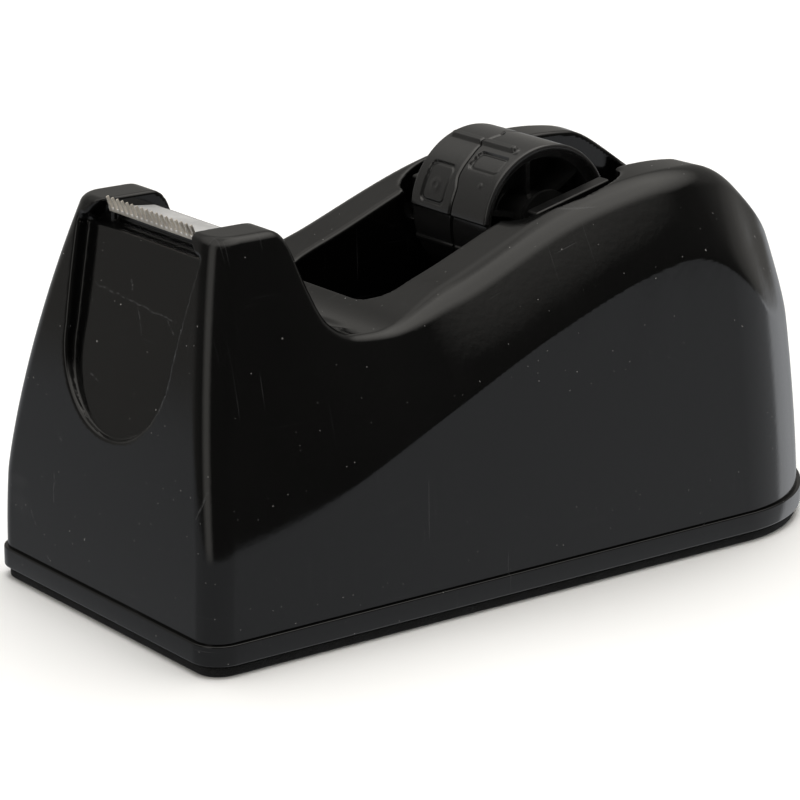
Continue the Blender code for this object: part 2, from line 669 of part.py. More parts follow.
def make_hub(finish, metal, carrier, drum):
    """Two drum halves on an axle whose end shoes drop into the wall slots."""
    bore = AXLE_RADIUS + GAP
    inner = HUB_RADIUS - HUB_WALL
    on_axis = Matrix.Translation(metres(0, HUB_B, HUB_Z)) @ Matrix.Rotation(math.radians(90), 4, 'Y')
    for side, label in ((-1, "left"), (1, "right")):
        name = "hub_half_" + label
        seam, end = side * GAP / 2, side * HUB_HALF_LENGTH
        web, sleeve = seam + side * HUB_WALL, side * DRUM_WEB_X
        outline = [(HUB_RADIUS, end), (HUB_RADIUS, seam), (bore, seam), (bore, sleeve),
                   (SLEEVE_RADIUS, sleeve), (SLEEVE_RADIUS, web), (inner, web), (inner, end)]
        drum_mesh = turned_mesh(name, outline, on_axis, DRUM_SEGMENTS)
        half = place(name, drum_mesh, finish, parts, smooth=True)
        for spoke in range(SPOKE_COUNT):
            angle = 360 / SPOKE_COUNT * spoke + 15
            bar = hub_bar(f"{name}_spoke_{spoke + 1}", angle, side * 4.6, 8.0, 1.0,
                          SLEEVE_RADIUS - 0.6, inner + 0.4)
            combine(half, place_cutter(bar.name, bar), 'UNION')
        for rib in range(RIB_COUNT):
            angle = 360 / RIB_COUNT * rib + RIB_ANGLE
            bar = hub_bar(f"{name}_rib_{rib + 1}", angle, side * 4.9, 8.2, 1.5,
                          HUB_RADIUS - 0.6, HUB_RADIUS + RIB_HEIGHT)
            combine(half, place_cutter(bar.name, bar), 'UNION')
        attach(half, drum)

        name = "friction_washer_" + label
        near, far = side * WASHER_INNER_X, side * WASHER_OUTER_X
        ring = [(WASHER_RADIUS, far), (WASHER_RADIUS, near), (bore, near), (bore, far)]
        washer = place(name, turned_mesh(name, ring, on_axis), finish, parts, smooth=True)
        attach(washer, drum)

        name = "axle_shoe_" + label
        outline = shoe_outline(SHOE_HALF_LENGTH, SHOE_RADIUS, SHOE_TOP, SHOE_SLOPE)
        middle = side * (SHOE_SLAB_X + SHOE_OUTER_X) / 2
        block = slab_mesh(name, outline, SHOE_OUTER_X - SHOE_SLAB_X, side_frame(middle))
        shoe = place(name, block, finish, parts)
        boss = rod_mesh("shoe_boss_" + label, SHOE_BOSS_RADIUS, (side * SHOE_INNER_X, HUB_B, HUB_Z),
                        (side * (SHOE_SLAB_X + 1.0), HUB_B, HUB_Z), 'X')
        combine(shoe, place_cutter("shoe_boss_" + label, boss), 'UNION')
        socket = rod_mesh("shoe_socket_" + label, bore, (side * (SHOE_INNER_X - 1.0), HUB_B, HUB_Z),
                          (side * (AXLE_HALF_LENGTH + GAP), HUB_B, HUB_Z), 'X')
        combine(shoe, place_cutter("shoe_socket_" + label, socket), 'DIFFERENCE')
        attach(shoe, carrier)

    rod = rod_mesh("hub_axle", AXLE_RADIUS, (-AXLE_HALF_LENGTH, HUB_B, HUB_Z),
                   (AXLE_HALF_LENGTH, HUB_B, HUB_Z), 'X')
    attach(place("hub_axle", rod, metal, parts, smooth=True), carrier)


def attach(piece, parent):
    """Parent a piece without moving it."""
    piece.parent = parent
    piece.matrix_parent_inverse = parent.matrix_world.inverted()


def make_pivot(name):
    """An empty on the hub axis that its moving pieces hang from."""
    pivot = bpy.data.objects.new(name, None)
    pivot.location = metres(0, HUB_B, HUB_Z)
    parts.objects.link(pivot)
    bpy.context.view_layer.update()
    return pivot


# ---------------------------------------------------------------- assembly
for old in list(bpy.data.objects):
    bpy.data.objects.remove(old, do_unlink=True)

parts = bpy.data.collections.new("tape_dispenser")
cutters = bpy.data.collections.new("cutters")
bpy.context.scene.collection.children.link(parts)
bpy.context.scene.collection.children.link(cutters)

black_plastic = material("black_plastic", (0.012, 0.012, 0.013), 0.22)
base_plastic = material("base_plastic", (0.02, 0.02, 0.02), 0.5)
foam = material("foam", (0.01, 0.01, 0.01), 0.95)
cast_weight = material("cast_weight", (0.25, 0.25, 0.24), 0.9)
blade_steel = material("blade_steel", (0.75, 0.76, 0.78), 0.15, 1.0)
axle_steel = material("axle_steel", (0.6, 0.6, 0.62), 0.3, 1.0)
screw_steel = material("screw_steel", (0.5, 0.5, 0.5), 0.35, 1.0)

make_shell(black_plastic)
make_base_plate(base_plastic)
make_foam_pad(foam)
make_base_screws(screw_steel)
make_ballast(cast_weight)
make_blade(blade_steel)
carrier_pivot = make_pivot("hub_carrier_pivot")
drum_pivot = make_pivot("hub_drum_pivot")
make_hub(black_plastic, axle_steel, carrier_pivot, drum_pivot)
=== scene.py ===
"""Desk tape dispenser: the looks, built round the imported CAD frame.

Shapes are laid out in millimetres as (x, b, z), where b is the distance back from the
front of the base lip, and turned into metres when a mesh is made.
"""
import math

import bmesh
import bpy
import numpy as np
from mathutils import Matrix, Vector


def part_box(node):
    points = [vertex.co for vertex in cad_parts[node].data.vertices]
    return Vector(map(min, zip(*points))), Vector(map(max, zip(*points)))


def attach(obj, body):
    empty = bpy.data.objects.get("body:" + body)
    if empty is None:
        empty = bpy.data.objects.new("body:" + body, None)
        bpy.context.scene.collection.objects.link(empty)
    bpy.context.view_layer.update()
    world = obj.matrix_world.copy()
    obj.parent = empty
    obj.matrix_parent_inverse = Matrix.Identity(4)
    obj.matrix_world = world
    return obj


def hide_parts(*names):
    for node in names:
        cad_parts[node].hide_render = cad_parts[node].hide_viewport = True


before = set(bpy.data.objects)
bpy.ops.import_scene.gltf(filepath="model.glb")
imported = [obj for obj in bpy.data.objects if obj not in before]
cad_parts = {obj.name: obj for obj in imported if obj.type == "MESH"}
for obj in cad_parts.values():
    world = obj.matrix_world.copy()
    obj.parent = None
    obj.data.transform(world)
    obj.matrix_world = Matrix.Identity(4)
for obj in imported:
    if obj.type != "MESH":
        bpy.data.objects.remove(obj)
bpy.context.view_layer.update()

MM = 0.001


# ---------------------------------------------------------------- places from the frame
def box_mm(node):
    """Lowest and highest corners of a CAD node as (x, b, z) millimetres."""
    low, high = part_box(node)
    shift = Vector((0.0, -SHELL_FRONT, 0.0))
    return (low / MM + shift), (high / MM + shift)


SHELL_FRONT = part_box("body_shell")[0].y / MM
SHELL_LOW, SHELL_HIGH = box_mm("body_shell")
LENGTH = SHELL_HIGH.y
HALF_WIDTH = SHELL_HIGH.x
SHELL_BOTTOM = SHELL_LOW.z
PAD_LOW, PAD_HIGH = box_mm("foam_pad")
PLATE_TOP = box_mm("base_plate")[1].z
AXLE_LOW, AXLE_HIGH = box_mm("hub_axle")
HUB_B = (AXLE_LOW.y + AXLE_HIGH.y) / 2
HUB_Z = (AXLE_LOW.z + AXLE_HIGH.z) / 2
DRUM_END = box_mm("hub_half_right")[1].x
SHOE_LOW, SHOE_HIGH = box_mm("axle_shoe_right")
BLADE_HALF_WIDTH = box_mm("cutter_blade")[1].x

# ---------------------------------------------------------------- body dimensions, mm
LIP_STEP = 0.6
LIP_TOP = 5.1
LIP_SHOULDER = 5.4
LIP_DEPTH = 1.2
LIP_EDGE = 0.22
PAD_FLAT = 3.5               # how far in the outer ring of the pad's faces reaches
PAD_EDGE = 0.35
WALL = 2.2
FRONT_LEAN = 9.8
FRONT_LEAN_HEIGHT = 60.0
FRONT_LEAN_POWER = 1.92
FRONT_CORNER_RADIUS = 4.2
PANEL_CURVE = 0.0011
REAR_DEPTH = 26.0
REAR_LEAN = 0.0176
REAR_LEAN_POWER = 1.5
SIDE_FOOT = HALF_WIDTH - LIP_STEP

RIM = [(9.7, 62.5), (19.7, 62.5), (22.1, 61.0), (23.9, 55.3), (27, 48.2), (31.7, 45.5),
       (36.7, 45.2), (50.7, 49.5), (77.7, 59.0), (94.7, 61.3), (99.7, 61.1), (103.7, 60.6),
       (106.7, 60.0), (110.7, 58.7), (114.7, 56.2), (118.7, 53.4), (126.7, 48.0)]
CREASE = [(0.7, 16.6), (16.7, 20.2), (44.7, 32.3), (64.7, 40.9), (84.7, 47.3), (94.7, 48.9),
          (102.7, 45.2), (107.7, 40.1), (112.7, 33.6)]
BAND_LEAN = [(0.7, 0.168), (20.7, 0.172), (33.7, 0.31), (50.7, 0.50), (94.7, 0.50),
             (132.7, 0.45)]
BAND_SOFTNESS = [(0.7, 2.0), (50.7, 2.0), (96.7, 2.5), (132.7, 10.0)]
CURVE_START, CURVE_END, CURVE_STEP = -20.0, 160.0, 0.1
RIM_FRONT_BLUR = 0.7
RIM_REAR_BLUR = 2.4
RIM_BLUR_CHANGE = (50.0, 70.0)
CREASE_BLUR = 3.0
BAND_BLUR = 4.0
REAR_DIP_START = 101.0
REAR_DIP_REACH = 8.2
REAR_DIP = 5.6
REAR_DIP_HALF_WIDTH = 21.5

WELL_HALF_WIDTH = 12.4
WELL_FRONT = 42.7
WELL_BACK = 113.5
WELL_FLOOR = 15.1
WELL_CORNER = 5.0
WELL_FLOOR_EDGE = 1.5
WELL_SHELL = 2.0
SLOT_HALF_LENGTH = 7.6
GAP = 0.3
SLOT_OUTER_X = SHOE_HIGH.x + GAP
SLOT_WALL_X = 10.0
SLOT_WALL_HALF = 9.8
SLOT_WALL_FOOT = 43.3
SCALLOP_DEPTH = 6.3
SCALLOP_HALF_LENGTH = 11.3
SCALLOP_FLOOR = 50.6
SCALLOP_FLOOR_EDGE = 2.0

RECESS_RADIUS = 14.3
RECESS_HALF_TOP = 16.5
RECESS_FLOOR_LOW = (3.2, 29.2)
RECESS_FLOOR_HIGH = (10.75, 59.2)
RECESS_RUN = RECESS_FLOOR_HIGH[0] - RECESS_FLOOR_LOW[0]
RECESS_RISE = RECESS_FLOOR_HIGH[1] - RECESS_FLOOR_LOW[1]
RECESS_SLANT = math.hypot(RECESS_RUN, RECESS_RISE)
RECESS_WALL = 2.1
HORN_INNER_X = 12.3
CHEEK_SPREAD = 0.95          # how fast the horns' front inner edges spread downwards
CHEEK_TOP = 62.5
CHEEK_FOOT = 58.6
CHEEK_BACK = 12.2
SEAT_LINE = [(11.2, 60.5), (20.1, 59.6), (20.6, 59.2), (40.0, 59.2)]
SEAT_BACK = 30.7
UNDERCUT_Z = 59.0
UNDERCUT_B = 13.1
POCKET_FRONT, POCKET_BACK, POCKET_FLOOR = 18.5, 20.4, 56.4
DIMPLE_PLACE = (13.2, 32.7)
DIMPLE_REACH = (5.2, 2.0)
DIMPLE_DEPTH = 0.35

HOLLOW_DROP = 3.5
HOLLOW_CEILING = 46.0
BOSS_RADIUS = 3.2
BORE_RADIUS = 1.7
BORE_TOP = 15.0
SCREW_PLACES = [(17.5, 15.0), (19.0, 101.0)]

HORN_TOP_EDGE = 1.2
WALL_TOP_EDGE = 2.7
WALL_EDGE_FROM = 35.0
WALL_EDGE_TO = 54.0
RECESS_EDGE = 0.7
RECESS_TOP_CORNER = 0.8
RECESS_FLOOR_EDGE = 0.4
SLOT_FLOOR_EDGE = 0.4
UNDERCUT_EDGE = 0.2
WELL_EDGE = 0.7
SMALL_EDGE = 0.5
VOXEL = 0.5
SNAP_PASSES = 3
SNAP_REACH = 0.35            # longest move of one pass, as a part of a cell
SNAP_SLOPE_STEP = 0.05
NORMAL_SLOPE_STEP = 0.12
TINY = 1e-9


# ---------------------------------------------------------------- curves along the body
def smooth_step(value):
    """0 below 0, 1 above 1, and an even curve between."""
    t = np.clip(value, 0.0, 1.0)
    return t * t * (3 - 2 * t)


def along(points, value):
    """Smooth monotone curve through (position, height) points, flat past its ends."""
    x, y = np.array(points, float).T
    slope = np.diff(y) / np.diff(x)
    pair = slope[:-1] * slope[1:]
    total = np.where(pair > 0, slope[:-1] + slope[1:], 1.0)
    tangent = np.concatenate([slope[:1], np.where(pair > 0, 2 * pair / total, 0.0), slope[-1:]])
    place = np.clip(value, x[0], x[-1])
    k = np.clip(np.searchsorted(x, place, side='right') - 1, 0, len(x) - 2)
    span = x[k + 1] - x[k]
    t = (place - x[k]) / span
    rise = y[k] * (1 + 2 * t) * (1 - t) ** 2 + y[k + 1] * t * t * (3 - 2 * t)
    return rise + (tangent[k] * t * (1 - t) ** 2 - tangent[k + 1] * t * t * (1 - t)) * span


def softened(points, blur):
    """A finely sampled copy of a curve with its bends evened out over a length."""
    x = np.arange(CURVE_START, CURVE_END, CURVE_STEP)
    reach = np.arange(-4 * blur, 4 * blur + CURVE_STEP / 2, CURVE_STEP)
    weight = np.exp(-0.5 * (reach / blur) ** 2)
    padded = np.pad(along(points, x), len(reach) // 2, mode='edge')
    y = np.convolve(padded, weight / weight.sum(), mode='valid')
    return x, y, np.gradient(y, CURVE_STEP)


def two_part(points, front_blur, rear_blur, start, end):
    """A softened curve that is softer behind a stretch of the body than before it."""
    x, near, _ = softened(points, front_blur)
    far = softened(points, rear_blur)[1]
    y = near + (far - near) * smooth_step((x - start) / (end - start))
    return x, y, np.gradient(y, x)


RIM_CURVE = two_part(RIM, RIM_FRONT_BLUR, RIM_REAR_BLUR, *RIM_BLUR_CHANGE)
CREASE_CURVE = softened(CREASE, CREASE_BLUR)
LEAN_CURVE = softened(BAND_LEAN, BAND_BLUR)
SOFTNESS_CURVE = softened(BAND_SOFTNESS, BAND_BLUR)


def read(curve, value, slope=False):
    """Height, or slope, of a sampled curve."""
    return np.interp(value, curve[0], curve[2] if slope else curve[1])


def front_at(z):
    """Distance b of the front face at a height."""
    rise = np.maximum(z - LIP_SHOULDER, 0.0) / FRONT_LEAN_HEIGHT
    return LIP_STEP + FRONT_LEAN * rise ** FRONT_LEAN_POWER


def back_at(z):
    """Distance b of the rearmost point at a height."""
    return LENGTH - LIP_STEP - REAR_LEAN * np.maximum(z, 0.0) ** REAR_LEAN_POWER


def side_at(b, z):
    """Half width of the body at a distance back and a height."""
    panel = SIDE_FOOT - PANEL_CURVE * np.maximum(z - LIP_SHOULDER, 0.0) ** 2
    above = np.maximum(z - read(CREASE_CURVE, b), 0.0)
    return panel - read(LEAN_CURVE, b) * above ** 2 / (above + read(SOFTNESS_CURVE, b))


# ---------------------------------------------------------------- the body as a field
def meet(first, second, radius=0.0):
    """Common part of two solids given as fields (negative inside), with a rounded edge."""
    u, v = np.maximum(first + radius, 0.0), np.maximum(second + radius, 0.0)
    return np.hypot(u, v) - radius + np.minimum(np.maximum(first, second) + radius, 0.0)


def cut(solid, tool, radius=0.0):
    """A solid less a tool, with the new edge rounded."""
    return meet(solid, -tool, radius)


def flank_field(x, b, z):
    """Distance outside the sides and the rounded back."""
    side = side_at(b, z)
    back = back_at(z)
    depth = REAR_DEPTH * side_at(back - REAR_DEPTH, z) / SIDE_FOOT
    behind = np.maximum(b - back + depth, 0.0)
    reach = np.sqrt((x / side) ** 2 + (behind / depth) ** 2)
    steep = np.sqrt((x / side ** 2) ** 2 + (behind / depth ** 2) ** 2)
    return np.where(reach > 0.05, (reach - 1) * reach / np.maximum(steep, 1e-6), -side)


def well_field(x, b, z, grow=0.0):
    """Distance outside the roll well, or outside a larger copy of it."""
    middle, half = (WELL_FRONT + WELL_BACK) / 2, (WELL_BACK - WELL_FRONT) / 2
    u = x - WELL_HALF_WIDTH + WELL_CORNER
    v = np.abs(b - middle) - half + WELL_CORNER
    plan = np.hypot(np.maximum(u, 0.0), np.maximum(v, 0.0)) + np.minimum(np.maximum(u, v), 0.0)
    return meet(plan - WELL_CORNER - grow, WELL_FLOOR - grow - z, WELL_FLOOR_EDGE)


def hollow_field(x, b, z, flank, face, top):
    """Distance outside the space inside the moulding."""
    inside = np.maximum(flank + WALL, np.maximum(face + WALL, RECESS_WALL - recess_floor(b, z)))
    inside = np.maximum(inside, np.maximum(top + HOLLOW_DROP, z - HOLLOW_CEILING))
    inside = np.maximum(inside, -well_field(x, b, z, WELL_SHELL))
    plate = np.maximum(np.maximum(flank + WALL, face + WALL), z - PLATE_TOP - GAP)
    slot_wall = np.maximum(SLOT_WALL_X - x, np.abs(b - HUB_B) - SLOT_WALL_HALF)
    slot_wall = np.maximum(slot_wall, SLOT_WALL_FOOT - z)
    inside = np.maximum(inside, -slot_wall)
    for across, back in SCREW_PLACES:
        boss = np.hypot(x - across, b - back) - BOSS_RADIUS
        inside = np.maximum(inside, -np.maximum(boss, PLATE_TOP + GAP - z))
    return np.minimum(inside, plate)


def recess_floor(b, z):
    """Distance behind the flat floor of the front recess."""
    back, up = b - RECESS_FLOOR_LOW[0], z - RECESS_FLOOR_LOW[1]
    return (back * RECESS_RISE - up * RECESS_RUN) / RECESS_SLANT


def recess_field(x, b, z):
    """Distance outside the U recess in the front face."""
    back, up = b - RECESS_FLOOR_LOW[0], z - RECESS_FLOOR_LOW[1]
    v = (back * RECESS_RUN + up * RECESS_RISE) / RECESS_SLANT
    widen = (RECESS_HALF_TOP - RECESS_RADIUS) / (RECESS_SLANT - RECESS_RADIUS)
    upper = x - RECESS_RADIUS - widen * (v - RECESS_RADIUS)
    lower = np.hypot(x, np.minimum(v - RECESS_RADIUS, 0.0)) - RECESS_RADIUS
    outline = np.where(v > RECESS_RADIUS, upper, lower)
    outline = meet(outline, v - RECESS_SLANT, RECESS_TOP_CORNER)
    return meet(outline, recess_floor(b, z), RECESS_FLOOR_EDGE)


def body_field(x, b, z):
    """Signed distance, roughly, outside the whole moulding less its base lip."""
    x = np.abs(x)
    rise = np.maximum(z - LIP_SHOULDER, 0.0) / FRONT_LEAN_HEIGHT
    slope = FRONT_LEAN * FRONT_LEAN_POWER / FRONT_LEAN_HEIGHT * rise ** (FRONT_LEAN_POWER - 1)
    face = (front_at(z) - b) / np.sqrt(1 + slope ** 2)
    flank = flank_field(x, b, z)
    behind = np.maximum(b - REAR_DIP_START, 0.0)
    sag = REAR_DIP * (1 - np.exp(-(behind / REAR_DIP_REACH) ** 2))
    sag = sag * (1 - np.minimum((x / REAR_DIP_HALF_WIDTH) ** 2, 1.0))
    dimple = np.hypot((x - DIMPLE_PLACE[0]) / DIMPLE_REACH[0],
                      (b - DIMPLE_PLACE[1]) / DIMPLE_REACH[1])
    sag = sag + DIMPLE_DEPTH * np.exp(-2 * dimple ** 4)
    tilt = read(RIM_CURVE, b, slope=True)
    top = (z - read(RIM_CURVE, b) + sag) / np.sqrt(1 + tilt ** 2)

    part = smooth_step((b - WALL_EDGE_FROM) / (WALL_EDGE_TO - WALL_EDGE_FROM))
    top_edge = HORN_TOP_EDGE + (WALL_TOP_EDGE - HORN_TOP_EDGE) * part
    solid = meet(meet(flank, face, FRONT_CORNER_RADIUS), top, top_edge)
    solid = np.maximum(solid, SHELL_BOTTOM - z)
    solid = cut(solid, recess_field(x, b, z), RECESS_EDGE)

    seat = along(SEAT_LINE, b) - z
    notch = np.maximum(x - HORN_INNER_X, np.maximum(seat, b - SEAT_BACK))
    solid = cut(solid, notch, SMALL_EDGE)
    undercut = np.maximum(np.maximum(x - HORN_INNER_X, b - UNDERCUT_B), UNDERCUT_Z - z)
    solid = cut(solid, undercut, UNDERCUT_EDGE)
    cheek = (x - HORN_INNER_X - CHEEK_SPREAD * (CHEEK_TOP - z)) / math.hypot(1.0, CHEEK_SPREAD)
    cheek = np.maximum(np.maximum(cheek, b - CHEEK_BACK), CHEEK_FOOT - z)
    solid = cut(solid, cheek, SMALL_EDGE)
    pocket = np.maximum(x - HORN_INNER_X, np.maximum(POCKET_FRONT - b, b - POCKET_BACK))
    pocket = np.maximum(pocket, POCKET_FLOOR - z)
    solid = np.maximum(solid, -pocket)

    solid = cut(solid, well_field(x, b, z), WELL_EDGE)
    tongue = np.hypot(b - HUB_B, np.minimum(z - HUB_Z, 0.0)) - SLOT_HALF_LENGTH
    solid = cut(solid, meet(tongue, x - SLOT_OUTER_X, SLOT_FLOOR_EDGE), SMALL_EDGE)
    u, v = (x - WELL_HALF_WIDTH) / SCALLOP_DEPTH, (b - HUB_B) / SCALLOP_HALF_LENGTH
    scallop = (np.hypot(np.maximum(u, 0.0), v) - 1) * SCALLOP_DEPTH
    solid = cut(solid, meet(scallop, SCALLOP_FLOOR - z, SCALLOP_FLOOR_EDGE), SMALL_EDGE)

    solid = np.maximum(solid, -hollow_field(x, b, z, flank, face, top))
    for across, back in SCREW_PLACES:
        bore = np.hypot(x - across, b - back) - BORE_RADIUS
        solid = np.maximum(solid, -np.maximum(bore, z - BORE_TOP))
    return solid


def slopes(field, points, step):
    """Central-difference gradient of a field at points."""
    found = []
    for axis in range(3):
        shift = np.zeros(3)
        shift[axis] = step
        ahead, behind = points + shift, points - shift
        found.append((field(*ahead.T) - field(*behind.T)) / (2 * step))
    return np.stack(found, axis=1)


def surface_net(values, axes):
    """Points and quads of a sampled field's zero surface, one point in each cell it crosses."""
    inside = values < 0
    cells = [n - 1 for n in values.shape]
    owners, crossings, quads = [], [], []
    for axis in range(3):
        low = [slice(None)] * 3
        high = [slice(None)] * 3
        low[axis], high[axis] = slice(0, -1), slice(1, None)
        spots = np.argwhere(inside[tuple(low)] != inside[tuple(high)])
        index = tuple(spots.T)
        first, second = values[tuple(low)][index], values[tuple(high)][index]
        part = first / (first - second)
        point = np.stack([axes[k][spots[:, k]] for k in range(3)], axis=1)
        start = axes[axis][spots[:, axis]]
        point[:, axis] = start + part * (axes[axis][spots[:, axis] + 1] - start)
        one, two = (axis + 1) % 3, (axis + 2) % 3
        ring = []
        for move_one, move_two in ((0, 0), (-1, 0), (-1, -1), (0, -1)):
            cell = spots.copy()
            cell[:, one] += move_one
            cell[:, two] += move_two
            ring.append((cell[:, 0] * cells[1] + cell[:, 1]) * cells[2] + cell[:, 2])
        ring = np.stack(ring, axis=1)
        owners.append(ring.ravel())
        crossings.append(np.repeat(point, 4, axis=0))
        backward = ~inside[tuple(low)][index]
        ring[backward] = ring[backward][:, ::-1]
        quads.append(ring)
    owners, crossings = np.concatenate(owners), np.concatenate(crossings)
    ids, which = np.unique(owners, return_inverse=True)
    count = np.bincount(which)
    points = np.stack([np.bincount(which, crossings[:, k]) / count for k in range(3)], axis=1)
    return points, np.searchsorted(ids, np.concatenate(quads))


def to_metres(points):
    """(x, b, z) millimetres to the frame's metres."""
    return (np.asarray(points, float) + (0.0, SHELL_FRONT, 0.0)) * MM


def mesh_of(name, points, faces):
    """A mesh from millimetre points, shaded smooth."""
    mesh = bpy.data.meshes.new(name)
    mesh.from_pydata(to_metres(points).tolist(), [], [list(map(int, f)) for f in faces])
    mesh.validate()
    mesh.polygons.foreach_set("use_smooth", [True] * len(mesh.polygons))
    mesh.update()
    return mesh


def piece(name, mesh, material, body, stands_for=()):
    """One visible piece of the object, riding on its body."""
    made = bpy.data.objects.new(name, mesh)
    bpy.context.scene.collection.objects.link(made)
    mesh.materials.append(material)
    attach(made, body)
    if stands_for:
        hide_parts(*stands_for)
    return made


def make_body(material):
    """The moulding as one fine mesh with every edge rounded."""
    half = np.arange(VOXEL / 2, HALF_WIDTH + 2 * VOXEL, VOXEL)
    axes = [half, np.arange(-1.5 * VOXEL, LENGTH + 2 * VOXEL, VOXEL),
            np.arange(SHELL_BOTTOM - 1.5 * VOXEL, SHELL_HIGH.z + 3 * VOXEL, VOXEL)]
    near = body_field(axes[0][:, None, None], axes[1][None, :, None], axes[2][None, None, :])
    values = np.concatenate([near[::-1], near])
    points, quads = surface_net(values, [np.concatenate([-half[::-1], half]), axes[1], axes[2]])
    for _ in range(SNAP_PASSES):
        grade = slopes(body_field, points, SNAP_SLOPE_STEP)
        size = np.maximum((grade ** 2).sum(axis=1), 0.05)
        move = grade * (body_field(*points.T) / size)[:, None]
        length = np.maximum(np.linalg.norm(move, axis=1), TINY)
        points -= move * np.minimum(1.0, SNAP_REACH * VOXEL / length)[:, None]
    mesh = mesh_of("body", points, quads)
    normals = slopes(body_field, points, NORMAL_SLOPE_STEP)
    normals /= np.maximum(np.linalg.norm(normals, axis=1), TINY)[:, None]
    mesh.normals_split_custom_set_from_vertices(normals.tolist())
    return piece("body", mesh, material, "body", ["body_shell"])


# ---------------------------------------------------------------- base lip and pad
def base_outline(outward):
    """Whole plan outline at the base, moved outwards, as (x, b) points going round."""
    back = LENGTH - LIP_STEP
    turn = back - REAR_DEPTH
    radius = FRONT_CORNER_RADIUS
    right = [(0.0, LIP_STEP)]
    for angle in np.radians(np.linspace(0, 90, 13)):
        right.append((SIDE_FOOT - radius + radius * math.sin(angle),
                      LIP_STEP + radius * (1 - math.cos(angle))))
    for part in np.linspace(0.05, 1.0, 20):
        right.append((SIDE_FOOT, LIP_STEP + radius + (turn - LIP_STEP - radius) * part))
    for angle in np.radians(np.linspace(1.5, 88.5, 59)):
        right.append((SIDE_FOOT * math.cos(angle), turn + REAR_DEPTH * math.sin(angle)))
    right.append((0.0, back))
    whole = np.array(right + [(-x, b) for x, b in right[-2:0:-1]])
    run = np.roll(whole, -1, axis=0) - np.roll(whole, 1, axis=0)
    run /= np.linalg.norm(run, axis=1)[:, None]
    return whole + np.stack([run[:, 1], -run[:, 0]], axis=1) * outward


def base_rings(profile):
    """The base outline repeated at each (outward, z) of a profile."""
    rings = []
    for outward, z in profile:
        plan = base_outline(outward)
        rings.append(np.column_stack([plan, np.full(len(plan), z)]))
    return rings


def band_faces(rings, count, closed=True):
    """Quads between rings of count points, with the last ring joined to the first if closed."""
    faces = []
    for ring in range(rings if closed else rings - 1):
        after = (ring + 1) % rings
        for i in range(count):
            j = (i + 1) % count
            faces.append((ring * count + i, ring * count + j, after * count + j, after * count + i))
    return faces


def rounded_profile(inner, outer, low, high, radius, steps=5):
    """Rectangle profile whose two outer corners are rounded."""
    points = [(inner, low)]
    for start, middle in ((-90, low + radius), (0, high - radius)):
        for angle in np.radians(np.linspace(start, start + 90, steps)):
            points.append((outer - radius + radius * math.cos(angle),
                           middle + radius * math.sin(angle)))
    points.append((inner, high))
    return points


def make_lip(material):
    """The narrow lip round the foot of the moulding."""
    profile = rounded_profile(-LIP_DEPTH, LIP_STEP, SHELL_BOTTOM, LIP_TOP, LIP_EDGE)
    rings = base_rings(profile)
    mesh = mesh_of("base_lip", np.concatenate(rings), band_faces(len(rings), len(rings[0])))
    return piece("base_lip", mesh, material, "body", ["body_shell"])


def make_pad(material):
    """Soft pad under the base, with a rounded outer edge."""
    profile = rounded_profile(-PAD_FLAT, PAD_HIGH.x - SIDE_FOOT, PAD_LOW.z, PAD_HIGH.z, PAD_EDGE, 4)
    rings = base_rings(profile)
    count = len(rings[0])
    faces = band_faces(len(rings), count, closed=False)
    last = (len(rings) - 1) * count
    faces.append(tuple(range(last, last + count)))
    faces.append(tuple(range(count - 1, -1, -1)))
    mesh = mesh_of("foam_base", np.concatenate(rings), faces)
    made = piece("foam_base", mesh, material, "body", ["foam_pad"])
    return made


# ---------------------------------------------------------------- cutter
TOOTH_COUNT = 18
TOOTH_LEAN = math.radians(21.0)
TOOTH_HEIGHT = 1.9
# One tooth, as parts of the pitch and of its height.
TOOTH_OUTLINE = [(0.18, -0.16), (0.27, 0.0), (0.35, 0.84), (0.43, 1.0), (0.57, 1.0), (0.65, 0.84),
                 (0.73, 0.0), (0.82, -0.16)]
COMB_FOOT = -0.7
COMB_DEPTHS = (-0.06, 0.4)
BLADE_THICKNESS = 0.5
BLADE_EDGE = 0.06
PLATE_FRONT = (11.2, 61.3)
PLATE_REAR = (20.1, 60.4)
PLATE_BEND = 0.8
PLATE_DROP = 3.4
PLATE_CHAMFER = 0.2


def prism(name, first, second):
    """A closed mesh between two outlines with the same number of points."""
    count = len(first)
    faces = [tuple(range(count)), tuple(range(2 * count - 1, count - 1, -1))]
    for i in range(count):
        j = (i + 1) % count
        faces.append((i, i + count, j + count, j))
    mesh = mesh_of(name, [*first, *second], faces)
    outward_faces(mesh)
    return mesh


def extruded(name, outline, low_x, high_x):
    """A (b, z) outline pulled across the body between two x positions."""
    return prism(name, [(low_x, b, z) for b, z in outline], [(high_x, b, z) for b, z in outline])


def outward_faces(mesh):
    """Turns a closed mesh's faces outwards."""
    work = bmesh.new()
    work.from_mesh(mesh)
    bmesh.ops.recalc_face_normals(work, faces=work.faces)
    work.to_mesh(mesh)
    work.free()


def join_meshes(name, meshes):
    """Several meshes as one."""
    work = bmesh.new()
    for mesh in meshes:
        work.from_mesh(mesh)
    joined = bpy.data.meshes.new(name)
    work.to_mesh(joined)
    work.free()
    return joined


def bevelled(made, width, segments, angle):
    """Rounds the sharp edges of a piece."""
    step = made.modifiers.new("rounded edges", 'BEVEL')
    step.width = width * MM
    step.segments = segments
    step.limit_method = 'ANGLE'
    step.angle_limit = math.radians(angle)
    step.harden_normals = True
    return made


